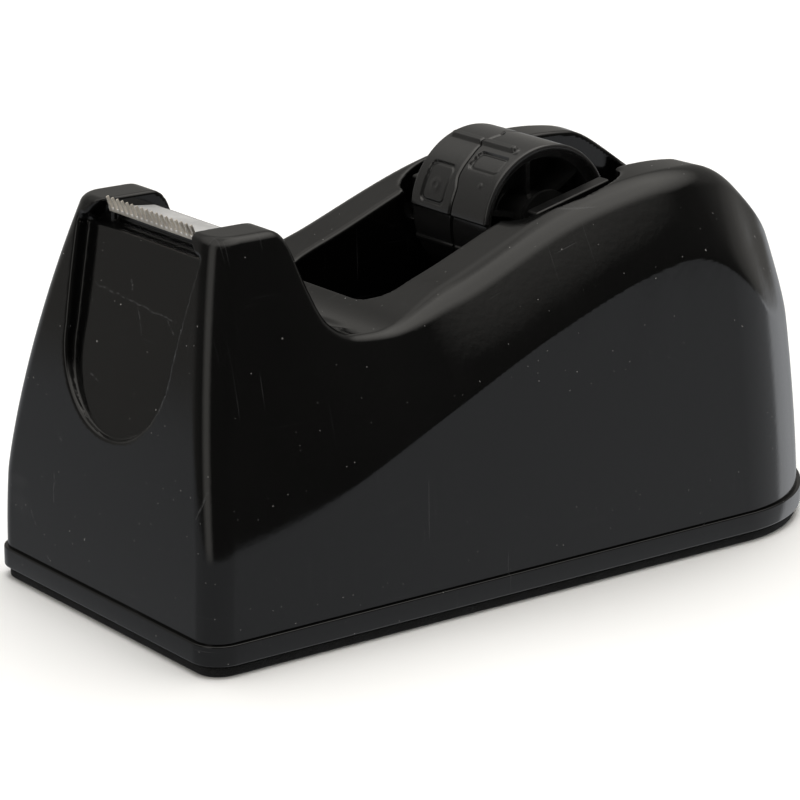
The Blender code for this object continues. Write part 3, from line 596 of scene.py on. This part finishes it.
def comb_mesh(front_b, front_z):
    """A row of upright teeth along the blade's front edge, leaning forwards."""
    pitch = 2 * BLADE_HALF_WIDTH / TOOTH_COUNT
    comb = [(-BLADE_HALF_WIDTH, COMB_FOOT)]
    for tooth in range(TOOTH_COUNT):
        left = -BLADE_HALF_WIDTH + pitch * tooth
        for place, rise in TOOTH_OUTLINE:
            comb.append((left + place * pitch, rise * TOOTH_HEIGHT))
    comb.append((BLADE_HALF_WIDTH, COMB_FOOT))
    lean_b, lean_z = math.sin(TOOTH_LEAN), math.cos(TOOTH_LEAN)
    sides = [[(x, front_b - rise * lean_b + depth * lean_z,
               front_z + rise * lean_z + depth * lean_b) for x, rise in comb]
             for depth in COMB_DEPTHS]
    return prism("cutter_teeth", *sides)


def make_blade(material, teeth_material):
    """Bright cutter: a sloping plate, its turned-down back edge and a row of teeth."""
    thick = BLADE_THICKNESS
    (front_b, front_z), (rear_b, rear_z) = PLATE_FRONT, PLATE_REAR
    plate = [(front_b, front_z)]
    for angle in np.radians(np.linspace(80, 0, 6)):
        plate.append((rear_b - PLATE_BEND + PLATE_BEND * math.cos(angle),
                      rear_z - PLATE_BEND + PLATE_BEND * math.sin(angle)))
    plate += [(rear_b, rear_z - PLATE_DROP), (rear_b - thick, rear_z - PLATE_DROP),
              (rear_b - thick, rear_z - PLATE_BEND), (rear_b - PLATE_BEND, rear_z - thick),
              (front_b + PLATE_CHAMFER, front_z - thick)]
    sheet = extruded("cutter_plate", plate, -BLADE_HALF_WIDTH, BLADE_HALF_WIDTH)
    first_tooth = len(sheet.polygons)
    mesh = join_meshes("cutter", [sheet, comb_mesh(front_b, front_z)])
    made = piece("cutter", mesh, material, "body", ["cutter_blade"])
    mesh.materials.append(teeth_material)
    for polygon in mesh.polygons:
        polygon.use_smooth = False
        polygon.material_index = int(polygon.index >= first_tooth)
    return bevelled(made, BLADE_EDGE, 2, 25.0)


# ---------------------------------------------------------------- hub
DRUM_RADIUS = 12.5
DRUM_END_GAP = 0.02
# The seam between the halves: (angle forward from the top, place across).
SEAM = [(-180, -0.4), (-60, -2.0), (-5, -2.0), (6, -0.6), (24, -0.7), (38, -0.2), (54, 0.0),
        (66, 0.85), (84, 0.6), (120, 0.2), (180, -0.4)]
SEAM_GAP = 0.13
SEAM_LIP = (11.0, 12.1)
RIB_ANGLE = 21.0
RIB_LOW, RIB_HIGH = -8.4, 7.3
RIB_HALF_WIDTH = 0.62
RIB_RISE = 0.62
RIB_END_ROUND = 0.4
KNOB_SIZE, KNOB_RISE = 0.6, 0.18
# Sunken panels: first and last angle, low and high place across.
NEAR_PANEL = (30.0, 47.5, 0.9, 8.1)
NEAR_PANEL_DEPTH = 0.34
FAR_PANEL = (48.0, 80.0, -7.4, -1.5)
FAR_PANEL_DEPTH = 0.24
PANEL_RIM = 0.45
PANEL_RIM_ANGLE = 2.1
PANEL_RIM_DEPTH = 0.12
# Round marks: angle and place across, then size and rise.
BUTTON_PLACE = (66.0, -4.6)
BUTTON_SIZE, BUTTON_RISE = 1.1, 0.12
BUTTON_DIMPLE_SIZE, BUTTON_DIMPLE_DEPTH = 0.5, 0.1
DOT_PLACE = (57.7, 6.05)
DOT_SIZE, DOT_RISE = 0.4, 0.1
SEAM_GROOVE = 0.22
SEAM_EDGE = 0.35
DRUM_EDGE = 0.5
DRUM_BORE = 2.3
# Inside of a drum half from its open end: rim step, inner ring, web and sleeve (radius, x).
DRUM_INSIDE = [(11.75, 9.73), (11.55, 9.6), (11.5, 9.4), (11.45, 8.75), (11.2, 8.6), (10.5, 8.6),
               (10.3, 8.5), (10.2, 8.3), (10.2, 2.2), (10.0, 1.9), (4.6, 1.9), (4.3, 2.1),
               (4.2, 8.7), (4.1, 8.85), (2.5, 8.85), (2.35, 8.7), (DRUM_BORE, 1.4)]
LEDGE_ANGLE, LEDGE_END_ANGLE = 84.0, 160.0
LEDGE_BLEND = 1.2
LEDGE_DEPTH = 0.55
RIDGE_ANGLE = 111.0
RIDGE_SIZE, RIDGE_RISE = 0.45, 0.3
SPOKE_COUNT = 6
SPOKE_TURN = 15.0
SPOKE_HALF_THICKNESS = 0.45
SPOKE_OUTLINE = [(3.9, 1.6), (10.4, 1.6), (10.4, 7.9), (9.6, 7.9), (5.2, 6.4), (3.9, 6.4)]


def panel_mask(angle, x, panel, corner=0.9, edge=0.28):
    """1 inside a rounded rectangle laid on the drum, 0 outside."""
    first, last, low, high = panel
    arc = np.radians(angle - (first + last) / 2) * DRUM_RADIUS
    half_arc = math.radians(last - first) / 2 * DRUM_RADIUS
    u = np.abs(arc) - half_arc + corner
    v = np.abs(x - (low + high) / 2) - (high - low) / 2 + corner
    gap = np.hypot(np.maximum(u, 0.0), np.maximum(v, 0.0)) + np.minimum(np.maximum(u, v), 0.0)
    return smooth_step(0.5 - (gap - corner) / edge)


def mark(distance, size, rise, flat=1.5):
    """Height of a small raised mark at a distance from its middle."""
    return rise * smooth_step(flat - distance / size)


def drum_radius(angle, x):
    """Outer radius of the drum at an angle forward from the top and a place across."""
    radius = np.full(np.broadcast(angle, x).shape, DRUM_RADIUS)
    wrapped = (angle + 180.0) % 360.0 - 180.0

    def arc_from(middle):
        """Distance round the drum from an angle."""
        return np.radians(wrapped - middle) * DRUM_RADIUS

    for turned in (0.0, 180.0):
        arc = np.radians((wrapped - RIB_ANGLE + turned + 180.0) % 360.0 - 180.0) * DRUM_RADIUS
        end = np.maximum(RIB_LOW + RIB_END_ROUND - x, x - RIB_HIGH + RIB_END_ROUND)
        radius = radius + mark(np.hypot(arc, np.maximum(end, 0.0)), RIB_HALF_WIDTH, RIB_RISE)
        radius = radius + mark(np.hypot(arc, x - RIB_HIGH + 0.1), KNOB_SIZE, KNOB_RISE, 1.4)
    for panel, sunk in ((NEAR_PANEL, NEAR_PANEL_DEPTH), (FAR_PANEL, FAR_PANEL_DEPTH)):
        first, last, low, high = panel
        within = (first + PANEL_RIM_ANGLE, last - PANEL_RIM_ANGLE,
                  low + PANEL_RIM, high - PANEL_RIM)
        whole = panel_mask(wrapped, x, panel)
        radius = radius - sunk * whole
        radius = radius - PANEL_RIM_DEPTH * (whole - panel_mask(wrapped, x, within))
    button = np.hypot(arc_from(BUTTON_PLACE[0]), x - BUTTON_PLACE[1])
    radius = radius + mark(button, BUTTON_SIZE, BUTTON_RISE)
    radius = radius - mark(button, BUTTON_DIMPLE_SIZE, BUTTON_DIMPLE_DEPTH, 1.4)
    dot = np.hypot(arc_from(DOT_PLACE[0]), x - DOT_PLACE[1])
    radius = radius + mark(dot, DOT_SIZE, DOT_RISE)
    lower = smooth_step((wrapped - LEDGE_ANGLE) / LEDGE_BLEND)
    lower = lower * smooth_step((LEDGE_END_ANGLE - wrapped) / LEDGE_BLEND)
    radius = radius - LEDGE_DEPTH * lower
    return radius + mark(np.abs(arc_from(RIDGE_ANGLE)), RIDGE_SIZE, RIDGE_RISE)


def drum_point(angle, radius, x):
    """A point on the drum from degrees forward of the top, radius and place across."""
    turn = np.radians(angle)
    return np.stack([x, HUB_B - radius * np.sin(turn), HUB_Z + radius * np.cos(turn)], axis=-1)


def drum_half(name, side, material):
    """One half of the drum: outer wall with its moulded marks, open end, inner ring and web."""
    turns = 720
    across = 90
    angle = np.arange(turns) * 360.0 / turns - 180.0
    seam = along(SEAM, angle) + side * SEAM_GAP
    end = side * (DRUM_END - DRUM_END_GAP)
    rings = [drum_point(angle, np.full(turns, inner), seam) for inner in SEAM_LIP]
    for part in np.linspace(0.0, 1.0, across):
        x = seam + (end - seam) * part
        groove = SEAM_GROOVE * (1 - smooth_step(np.abs(x - seam) / SEAM_EDGE))
        rounding = np.sqrt(1 - np.clip(1 - np.abs(end - x) / DRUM_EDGE, 0, 1) ** 2)
        radius = drum_radius(angle, x) - groove - DRUM_EDGE * (1 - rounding)
        rings.append(drum_point(angle, radius, x))
    for radius, x in DRUM_INSIDE:
        rings.append(drum_point(angle, np.full(turns, radius), np.full(turns, side * x)))
    rings.append(drum_point(angle, np.full(turns, DRUM_BORE), seam))
    wall = mesh_of(name + "_wall", np.concatenate(rings), band_faces(len(rings), turns))
    outward_faces(wall)
    spokes = [spoke_mesh(f"{name}_spoke_{k + 1}", 360.0 / SPOKE_COUNT * k + SPOKE_TURN, side)
              for k in range(SPOKE_COUNT)]
    mesh = join_meshes(name, [wall, *spokes])
    mesh.set_sharp_from_angle(angle=math.radians(40))
    for polygon in mesh.polygons:
        polygon.use_smooth = True
    stands_for = "hub_half_right" if side > 0 else "hub_half_left"
    return piece(name, mesh, material, "hub_drum", [stands_for])


def spoke_mesh(name, angle, side):
    """A thin web between the drum's sleeve and its inner ring."""
    faces = []
    for shift in (-SPOKE_HALF_THICKNESS, SPOKE_HALF_THICKNESS):
        faces.append([drum_point(angle + math.degrees(math.atan2(shift, radius)),
                                 math.hypot(radius, shift), side * x)
                      for radius, x in SPOKE_OUTLINE])
    return prism(name, *faces)


SHOE_HALF_LENGTH = 7.3
SHOE_TOP = 58.6
SHOE_SLOPE = 0.234
SHOE_SLAB_X = 13.6
SHOE_BOSS_RADIUS = 3.0
SHOE_OVERLAP = 0.4
SHOE_EDGE = 0.35


def make_shoe(label, side, material):
    """Slab that drops into a wall slot, with a round boss that carries an end of the axle."""
    outline = [(HUB_B + SHOE_HALF_LENGTH, SHOE_TOP + SHOE_SLOPE * SHOE_HALF_LENGTH),
               (HUB_B - SHOE_HALF_LENGTH, SHOE_TOP - SHOE_SLOPE * SHOE_HALF_LENGTH)]
    for angle in np.radians(np.linspace(180, 360, 41)):
        outline.append((HUB_B + SHOE_HALF_LENGTH * math.cos(angle),
                        HUB_Z + SHOE_HALF_LENGTH * math.sin(angle)))
    slab = extruded("shoe_slab", outline, *sorted((side * SHOE_SLAB_X, side * SHOE_HIGH.x)))
    ring = [(HUB_B + SHOE_BOSS_RADIUS * math.cos(a), HUB_Z + SHOE_BOSS_RADIUS * math.sin(a))
            for a in np.radians(np.arange(0, 360, 7.5))]
    boss_ends = sorted((side * SHOE_LOW.x, side * (SHOE_SLAB_X + SHOE_OVERLAP)))
    boss = extruded("shoe_boss", ring, *boss_ends)
    mesh = join_meshes("shoe_" + label, [slab, boss])
    made = piece("shoe_" + label, mesh, material, "hub_carrier", ["axle_shoe_" + label])
    return bevelled(made, SHOE_EDGE, 3, 30.0)


# ---------------------------------------------------------------- materials
def link(tree, source, target):
    """Joins an output socket to an input socket."""
    tree.links.new(source, target)


def node(tree, kind, settings=(), **inputs):
    """A shader node with its settings, and inputs by name or as i0, i1 and so on."""
    made = tree.nodes.new(kind)
    for key, value in dict(settings).items():
        setattr(made, key, value)
    for key, value in inputs.items():
        by_number = key[0] == "i" and key[1:].isdigit()
        socket = made.inputs[int(key[1:]) if by_number else key]
        if isinstance(value, bpy.types.NodeSocket):
            link(tree, value, socket)
        else:
            socket.default_value = value
    return made


def new_material(name):
    """An empty material with a Principled shader."""
    made = bpy.data.materials.new(name)
    made.use_nodes = True
    tree = made.node_tree
    return made, tree, tree.nodes["Principled BSDF"]


def object_space(tree, scale=(1.0, 1.0, 1.0), turn=(0.0, 0.0, 0.0)):
    """Object coordinates, scaled and turned."""
    where = node(tree, "ShaderNodeTexCoord")
    mapped = node(tree, "ShaderNodeMapping", Vector=where.outputs["Object"])
    mapped.inputs["Scale"].default_value = scale
    mapped.inputs["Rotation"].default_value = turn
    return mapped.outputs[0]


def noise(tree, vector, scale, detail=4.0, rough=0.55):
    """Cloudy noise, 0 to 1."""
    made = node(tree, "ShaderNodeTexNoise", Vector=vector, Scale=scale, Detail=detail,
                Roughness=rough)
    return made.outputs[0]


def math_node(tree, operation, first, second=0.5):
    """A sum on one or two values."""
    return node(tree, "ShaderNodeMath", {"operation": operation}, i0=first, i1=second).outputs[0]


def times(tree, first, second):
    """First times second."""
    return math_node(tree, 'MULTIPLY', first, second)


def plus(tree, first, second):
    """First plus second."""
    return math_node(tree, 'ADD', first, second)


def minus(tree, first, second):
    """First less second."""
    return math_node(tree, 'SUBTRACT', first, second)


def larger(tree, first, second):
    """The larger of two values."""
    return math_node(tree, 'MAXIMUM', first, second)


def bump_from(tree, shader, height, strength, distance):
    """Roughens a shader's normal by a height in parts of a distance."""
    made = node(tree, "ShaderNodeBump", Strength=strength, Distance=distance, Height=height)
    link(tree, made.outputs[0], shader.inputs["Normal"])


def ramp(tree, factor, low, high, start=0.0, end=1.0):
    """Maps a factor from a span to another, held at its ends."""
    made = node(tree, "ShaderNodeMapRange", {"clamp": True}, Value=factor)
    made.inputs["From Min"].default_value = low
    made.inputs["From Max"].default_value = high
    made.inputs["To Min"].default_value = start
    made.inputs["To Max"].default_value = end
    return made.outputs[0]


def blend_colour(tree, factor, first, second):
    """Two colours mixed by a factor."""
    made = node(tree, "ShaderNodeMix", {"data_type": 'RGBA'}, i0=factor, i6=first, i7=second)
    return made.outputs[2]


# Directions of the handling scratches: turn and stretch of their noise.
SCRATCH_FIELDS = [((0.5, 0.3, 0.7), (55, 2300, 55)), ((0.1, 0.9, -0.6), (2100, 60, 60)),
                  ((-0.8, 0.4, 1.2), (50, 2600, 50)), ((0.9, -0.5, 0.2), (60, 60, 2200))]
SCRATCH_START, SCRATCH_FULL, SCRATCH_STEP = 0.765, 0.84, 0.02
# Single scratches on the front: two (x, z) ends and half a width, mm.
FRONT_SCRATCHES = [((-11.9, 49.9), (11.6, 48.6), 0.20), ((0.5, 49.0), (2.8, 45.0), 0.16),
                   ((8.5, 48.6), (11.1, 46.8), 0.16), ((-2.4, 52.5), (-1.7, 50.7), 0.26),
                   ((-8.7, 37.1), (-5.8, 36.4), 0.22), ((-13.3, 27.2), (-11.9, 25.8), 0.30),
                   ((-13.7, 20.8), (-13.3, 15.6), 0.20), ((-20.1, 13.0), (-18.2, 10.8), 0.22),
                   ((-15.8, 7.0), (-14.2, 6.0), 0.26), ((25.0, 23.0), (26.6, 27.8), 0.20)]
SCRATCH_BEND = 1.2
FRONT_Y = (-0.050, -0.054)   # metres; the single scratches fade in between these
# Dust: spacing and size of its specks, mm.
COARSE_DUST = (3.6, 0.34)
FINE_DUST = (1.4, 0.19)
FINE_DUST_SHARE = 1.4
DUST_WOBBLE = 1.5
# Paler colour painted on upward-facing surfaces: a painted top light.
PAINTED_TOP_LIGHT_COLOUR = (0.014, 0.014, 0.0135, 1)
SCRATCH_COLOUR = (0.05, 0.05, 0.052, 1)
DUST_COLOUR = (0.38, 0.37, 0.36, 1)


def scratches(tree, amount):
    """Fine straight handling scratches in several directions, 0 to 1."""
    total = None
    less = amount * SCRATCH_STEP
    for turn, stretch in SCRATCH_FIELDS:
        field = noise(tree, object_space(tree, stretch, turn), 1.0, 1.0, 0.4)
        line = ramp(tree, field, SCRATCH_START - less, SCRATCH_FULL - less)
        total = line if total is None else larger(tree, total, line)
    patches = ramp(tree, noise(tree, object_space(tree), 45.0, 2.0), 0.45, 0.70)
    return times(tree, total, patches)


def dust(tree, spacing, size, share):
    """Scattered specks and short fibres, 0 to 1."""
    where = object_space(tree)
    wobble = node(tree, "ShaderNodeTexNoise", Vector=where, Scale=2600.0, Detail=1.0)
    offset = node(tree, "ShaderNodeVectorMath", {"operation": 'MULTIPLY_ADD'},
                  i0=wobble.outputs[1], i1=(size * MM * DUST_WOBBLE,) * 3, i2=where)
    cells = node(tree, "ShaderNodeTexVoronoi", Vector=offset.outputs[0],
                 Scale=1.0 / (spacing * MM))
    near = ramp(tree, cells.outputs["Distance"], size / spacing * 0.5, size / spacing * 0.25)
    chosen = node(tree, "ShaderNodeSeparateColor", i0=cells.outputs["Color"])
    picked = ramp(tree, chosen.outputs[0], 1.0 - share - 0.02, 1.0 - share + 0.02)
    return times(tree, near, picked)


def stroke(tree, start, end, width):
    """A single scratch on the front of the body between two (x, z) points in mm, 0 to 1."""
    parts = node(tree, "ShaderNodeSeparateXYZ", i0=object_space(tree))
    wobble = noise(tree, object_space(tree), 260.0, 2.0)
    run_x, run_z = (end[0] - start[0]) * MM, (end[1] - start[1]) * MM
    length = math.hypot(run_x, run_z)
    from_x = minus(tree, parts.outputs[0], start[0] * MM)
    from_z = minus(tree, parts.outputs[2], start[1] * MM)
    ahead = plus(tree, times(tree, from_x, run_x / length), times(tree, from_z, run_z / length))
    aside = minus(tree, times(tree, from_x, -run_z / length),
                  times(tree, from_z, -run_x / length))
    bend = times(tree, minus(tree, wobble, 0.5), SCRATCH_BEND * MM)
    aside = math_node(tree, 'ABSOLUTE', plus(tree, aside, bend))
    line = ramp(tree, aside, width * MM, 0.3 * width * MM)
    within = times(tree, ramp(tree, ahead, 0.0, 0.1 * length),
                   ramp(tree, ahead, length, 0.9 * length))
    front = ramp(tree, parts.outputs[1], *FRONT_Y)
    broken = ramp(tree, noise(tree, object_space(tree), 900.0, 2.0), 0.35, 0.6)
    return times(tree, times(tree, times(tree, line, within), broken), front)


def facing_up(tree):
    """How far a surface faces up, 0 to 1."""
    shape = node(tree, "ShaderNodeNewGeometry")
    parts = node(tree, "ShaderNodeSeparateXYZ", i0=shape.outputs["Normal"])
    return ramp(tree, parts.outputs[2], -0.1, 0.9)


def moulded_plastic(name, colour, rough, grain, wear, dust_share, ior=1.46, strokes=()):
    """Black moulded plastic with an uneven gloss, faint ripple, scratches, dust and a painted top
    light on upward faces.
    """
    made, tree, shader = new_material(name)
    cloud = noise(tree, object_space(tree), 60.0, 5.0, 0.6)
    fine = noise(tree, object_space(tree), 900.0, 3.0, 0.5)
    smear = noise(tree, object_space(tree, (30, 180, 60), (0.3, 0.2, 0.1)), 1.0, 4.0, 0.6)
    gloss = ramp(tree, times(tree, cloud, smear), 0.15, 0.42, *rough)
    marks = scratches(tree, wear)
    for start, end, width in strokes:
        marks = larger(tree, marks, stroke(tree, start, end, width))
    specks = dust(tree, *COARSE_DUST, dust_share)
    small = dust(tree, *FINE_DUST, dust_share * FINE_DUST_SHARE)
    grit = larger(tree, specks, times(tree, small, 0.8))
    # Painted top light: upward-facing surfaces are painted paler, in cloudy patches.
    painted_top_light = times(tree, facing_up(tree), ramp(tree, cloud, 0.35, 0.75, 0.3, 1.0))
    tone = blend_colour(tree, times(tree, painted_top_light, 0.22), (*colour, 1), PAINTED_TOP_LIGHT_COLOUR)
    tone = blend_colour(tree, times(tree, marks, 0.55), tone, SCRATCH_COLOUR)
    tone = blend_colour(tree, grit, tone, DUST_COLOUR)
    link(tree, tone, shader.inputs["Base Color"])
    dull = larger(tree, times(tree, grit, 0.8), times(tree, marks, 0.45))
    link(tree, larger(tree, gloss, dull), shader.inputs["Roughness"])
    height = plus(tree, times(tree, fine, grain), times(tree, cloud, 0.6))
    height = minus(tree, height, times(tree, marks, 0.25))
    height = plus(tree, height, times(tree, grit, 0.5))
    bump_from(tree, shader, height, 0.25, 0.00012)
    shader.inputs["IOR"].default_value = ior
    return made


def foam_rubber(name):
    """Black closed-cell foam, open pores on its cut edge, with painted shade in the pores."""
    made, tree, shader = new_material(name)
    cells = node(tree, "ShaderNodeTexVoronoi", Vector=object_space(tree), Scale=3800.0)
    cloud = noise(tree, object_space(tree), 300.0, 4.0)
    pores = ramp(tree, cells.outputs["Distance"], 0.15, 0.6)
    # Painted shade: the pore hollows are painted darker than the foam round them.
    tone = blend_colour(tree, times(tree, pores, cloud), (0.0025, 0.0025, 0.0025, 1),
                        (0.012, 0.012, 0.0115, 1))
    link(tree, tone, shader.inputs["Base Color"])
    link(tree, ramp(tree, cloud, 0.3, 0.7, 0.82, 0.98), shader.inputs["Roughness"])
    bump_from(tree, shader, pores, 0.8, 0.0002)
    return made


def metal(name, colour, rough, grain_direction, grain, metallic=1.0):
    """Steel with a drawn or rolled grain, faint stains and fine marks."""
    made, tree, shader = new_material(name)
    lines = noise(tree, object_space(tree, grain_direction), 1.0, 3.0, 0.7)
    cloud = noise(tree, object_space(tree), 220.0, 4.0, 0.6)
    marks = scratches(tree, 1.2)
    stained = (*[c * 0.72 for c in colour], 1)
    tone = blend_colour(tree, ramp(tree, cloud, 0.35, 0.75), (*colour, 1), stained)
    link(tree, tone, shader.inputs["Base Color"])
    shader.inputs["Metallic"].default_value = metallic
    dull = plus(tree, ramp(tree, lines, 0.3, 0.7, *rough), times(tree, marks, 0.2))
    link(tree, dull, shader.inputs["Roughness"])
    bump_from(tree, shader, minus(tree, lines, times(tree, marks, 0.6)), grain, 0.00003)
    return made


def cast_iron(name):
    """Rough cast weight with a few rust-brown patches."""
    made, tree, shader = new_material(name)
    cloud = noise(tree, object_space(tree), 120.0, 6.0, 0.65)
    grit = noise(tree, object_space(tree), 1500.0, 3.0, 0.6)
    tone = blend_colour(tree, ramp(tree, cloud, 0.55, 0.72), (0.09, 0.09, 0.088, 1),
                        (0.11, 0.06, 0.035, 1))
    link(tree, tone, shader.inputs["Base Color"])
    shader.inputs["Metallic"].default_value = 0.6
    link(tree, ramp(tree, grit, 0.3, 0.7, 0.6, 0.9), shader.inputs["Roughness"])
    bump_from(tree, shader, grit, 0.7, 0.0003)
    return made


def repaint(material, *names):
    """Gives CAD nodes a finished material."""
    for name in names:
        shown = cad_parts[name]
        for index in range(len(shown.material_slots)):
            shown.material_slots[index].material = material


# ---------------------------------------------------------------- studio
CAMERA_AZIMUTH = math.radians(53.3)
CAMERA_ELEVATION = math.radians(16.8)
CAMERA_PLACE = (0.43828, -0.33545, 0.19043)
CAMERA_LENS = 162.1
SENSOR_WIDTH = 36.0
FLOOR_HALF_SIZE = 6.0
LIGHT_PLACE = (-0.3, 0.2, 1.6)
LIGHT_AIM = (0.0, 0.0, 0.03)
LIGHT_SIZE = 1.6
LIGHT_POWER = 22.0


def make_camera():
    """Camera to the front right, a little above the object."""
    data = bpy.data.cameras.new("camera")
    data.lens = CAMERA_LENS
    data.sensor_width = SENSOR_WIDTH
    data.clip_start, data.clip_end = 0.01, 50.0
    made = bpy.data.objects.new("camera", data)
    bpy.context.scene.collection.objects.link(made)
    flat = math.cos(CAMERA_ELEVATION)
    back = Vector((math.sin(CAMERA_AZIMUTH) * flat, -math.cos(CAMERA_AZIMUTH) * flat,
                   math.sin(CAMERA_ELEVATION)))
    made.location = CAMERA_PLACE
    made.rotation_mode = 'QUATERNION'
    made.rotation_quaternion = (-back).to_track_quat('-Z', 'Y')
    bpy.context.scene.camera = made


def make_floor():
    """Wide pale floor."""
    size = FLOOR_HALF_SIZE
    mesh = bpy.data.meshes.new("floor")
    corners = [(-size, -size, 0), (size, -size, 0), (size, size, 0), (-size, size, 0)]
    mesh.from_pydata(corners, [], [(0, 1, 2, 3)])
    made = bpy.data.objects.new("floor", mesh)
    bpy.context.scene.collection.objects.link(made)
    finish, tree, shader = new_material("floor_paper")
    tone = ramp(tree, noise(tree, object_space(tree), 6.0, 3.0), 0.3, 0.7, 0.86, 0.885)
    link(tree, tone, shader.inputs["Base Color"])
    shader.inputs["Roughness"].default_value = 0.6
    mesh.materials.append(finish)
    made.visible_glossy = False


# Brightness round the studio by azimuth, in degrees from STUDIO_TURN: low down, then higher up.
STUDIO_TURN = -30.0
LOW_GLOW = [(-180, 0.34), (-150, 0.42), (-120, 0.36), (-100, 0.35), (-80, 0.42), (55, 0.46),
            (75, 0.60), (109, 0.62), (115, 1.45), (128, 1.10), (147, 0.55), (180, 0.34)]
HIGH_GLOW = [(-180, 0.24), (-140, 0.26), (-100, 0.22), (-90, 0.14), (-64, 0.10), (-50, 0.95),
             (-38, 0.95), (-26, 0.06), (40, 0.06), (98, 0.08), (116, 0.24), (140, 0.24),
             (180, 0.24)]
OVER_GLOW = [(-180, 0.8), (-60, 1.2), (0, 1.4), (80, 1.8), (130, 1.8), (180, 0.9)]
GLOW_SCALE = 3.0
# Heights, as parts of straight up, where one band of brightness gives way to the next.
LOW_TO_HIGH = (-0.12, -0.05)
HIGH_TO_OVER = (0.53, 0.84)
COOL = (0.97, 0.99, 1.02)
WARM = (1.03, 1.0, 0.94)


def glow(tree, azimuth, stops, tint):
    """Brightness read round the horizon from (degrees, brightness) stops."""
    made = node(tree, "ShaderNodeValToRGB", Fac=azimuth)
    while len(made.color_ramp.elements) < len(stops):
        made.color_ramp.elements.new(0.5)
    for element, (degrees, value) in zip(made.color_ramp.elements, stops):
        element.position = (degrees + 180) / 360
        element.color = (*[value * c / GLOW_SCALE for c in tint], 1)
    return made.outputs[0]


def make_world():
    """Soft surroundings of uneven brightness, in three bands of height that blend."""
    world = bpy.data.worlds.new("studio")
    bpy.context.scene.world = world
    world.use_nodes = True
    tree = world.node_tree
    where = node(tree, "ShaderNodeTexCoord")
    turned = node(tree, "ShaderNodeMapping", Vector=where.outputs["Generated"])
    turned.inputs["Rotation"].default_value = (0.0, 0.0, math.radians(-STUDIO_TURN))
    parts = node(tree, "ShaderNodeSeparateXYZ", i0=turned.outputs[0])
    azimuth = math_node(tree, 'ARCTAN2', parts.outputs[1], parts.outputs[0])
    azimuth = ramp(tree, azimuth, -math.pi, math.pi)
    height = parts.outputs[2]
    low, high = glow(tree, azimuth, LOW_GLOW, COOL), glow(tree, azimuth, HIGH_GLOW, WARM)
    around = blend_colour(tree, ramp(tree, height, *LOW_TO_HIGH), low, high)
    overhead = glow(tree, azimuth, OVER_GLOW, WARM)
    tone = blend_colour(tree, ramp(tree, height, *HIGH_TO_OVER), around, overhead)
    link(tree, tone, tree.nodes["Background"].inputs["Color"])
    tree.nodes["Background"].inputs["Strength"].default_value = GLOW_SCALE


def make_light():
    """One large soft light overhead."""
    data = bpy.data.lights.new("overhead", 'AREA')
    data.shape = 'RECTANGLE'
    data.size = data.size_y = LIGHT_SIZE
    data.energy = LIGHT_POWER
    made = bpy.data.objects.new("overhead", data)
    bpy.context.scene.collection.objects.link(made)
    made.location = LIGHT_PLACE
    made.rotation_mode = 'QUATERNION'
    made.rotation_quaternion = (Vector(LIGHT_AIM) - made.location).to_track_quat('-Z', 'Y')
    made.visible_glossy = False


# ---------------------------------------------------------------- assembly
make_camera()
make_world()
make_floor()
make_light()
bpy.context.scene.view_settings.view_transform = 'Standard'

shell_plastic = moulded_plastic("shell_plastic", (0.0016, 0.0016, 0.0016), (0.07, 0.17), grain=0.35,
                                wear=1.0, dust_share=0.30, strokes=FRONT_SCRATCHES)
hub_plastic = moulded_plastic("hub_plastic", (0.017, 0.017, 0.0172), (0.10, 0.20), grain=0.6,
                              wear=0.6, dust_share=0.10, ior=1.6)
shoe_plastic = moulded_plastic("shoe_plastic", (0.0014, 0.0014, 0.0015), (0.25, 0.42), grain=0.6,
                               wear=0.5, dust_share=0.10)
base_plastic = moulded_plastic("base_plastic", (0.012, 0.012, 0.012), (0.45, 0.65), grain=1.0,
                               wear=0.6, dust_share=0.05)
washer_plastic = moulded_plastic("washer_plastic", (0.003, 0.003, 0.003), (0.4, 0.6), grain=0.8,
                                 wear=0.4, dust_share=0.03)
foam = foam_rubber("foam")
blade_steel = metal("blade_steel", (0.93, 0.93, 0.93), (0.30, 0.42), (40, 1600, 1600), 0.25, 0.65)
teeth_steel = metal("teeth_steel", (0.74, 0.69, 0.62), (0.34, 0.50), (1600, 40, 40), 0.3, 0.80)
axle_steel = metal("axle_steel", (0.55, 0.55, 0.57), (0.22, 0.40), (30, 2600, 2600), 0.4)
screw_steel = metal("screw_steel", (0.48, 0.48, 0.47), (0.28, 0.45), (900, 900, 900), 0.4)
weight_iron = cast_iron("weight_iron")

make_body(shell_plastic)
make_lip(shell_plastic)
make_pad(foam)
make_blade(blade_steel, teeth_steel)
drum_half("drum_right", 1, hub_plastic)
drum_half("drum_left", -1, hub_plastic)
make_shoe("right", 1, shoe_plastic)
make_shoe("left", -1, shoe_plastic)
repaint(base_plastic, "base_plate")
repaint(washer_plastic, "friction_washer_left", "friction_washer_right")
repaint(axle_steel, "hub_axle")
repaint(screw_steel, "base_screw_front_left", "base_screw_front_right", "base_screw_rear_left",
        "base_screw_rear_right")
repaint(weight_iron, "ballast_under_well", "ballast_tower")
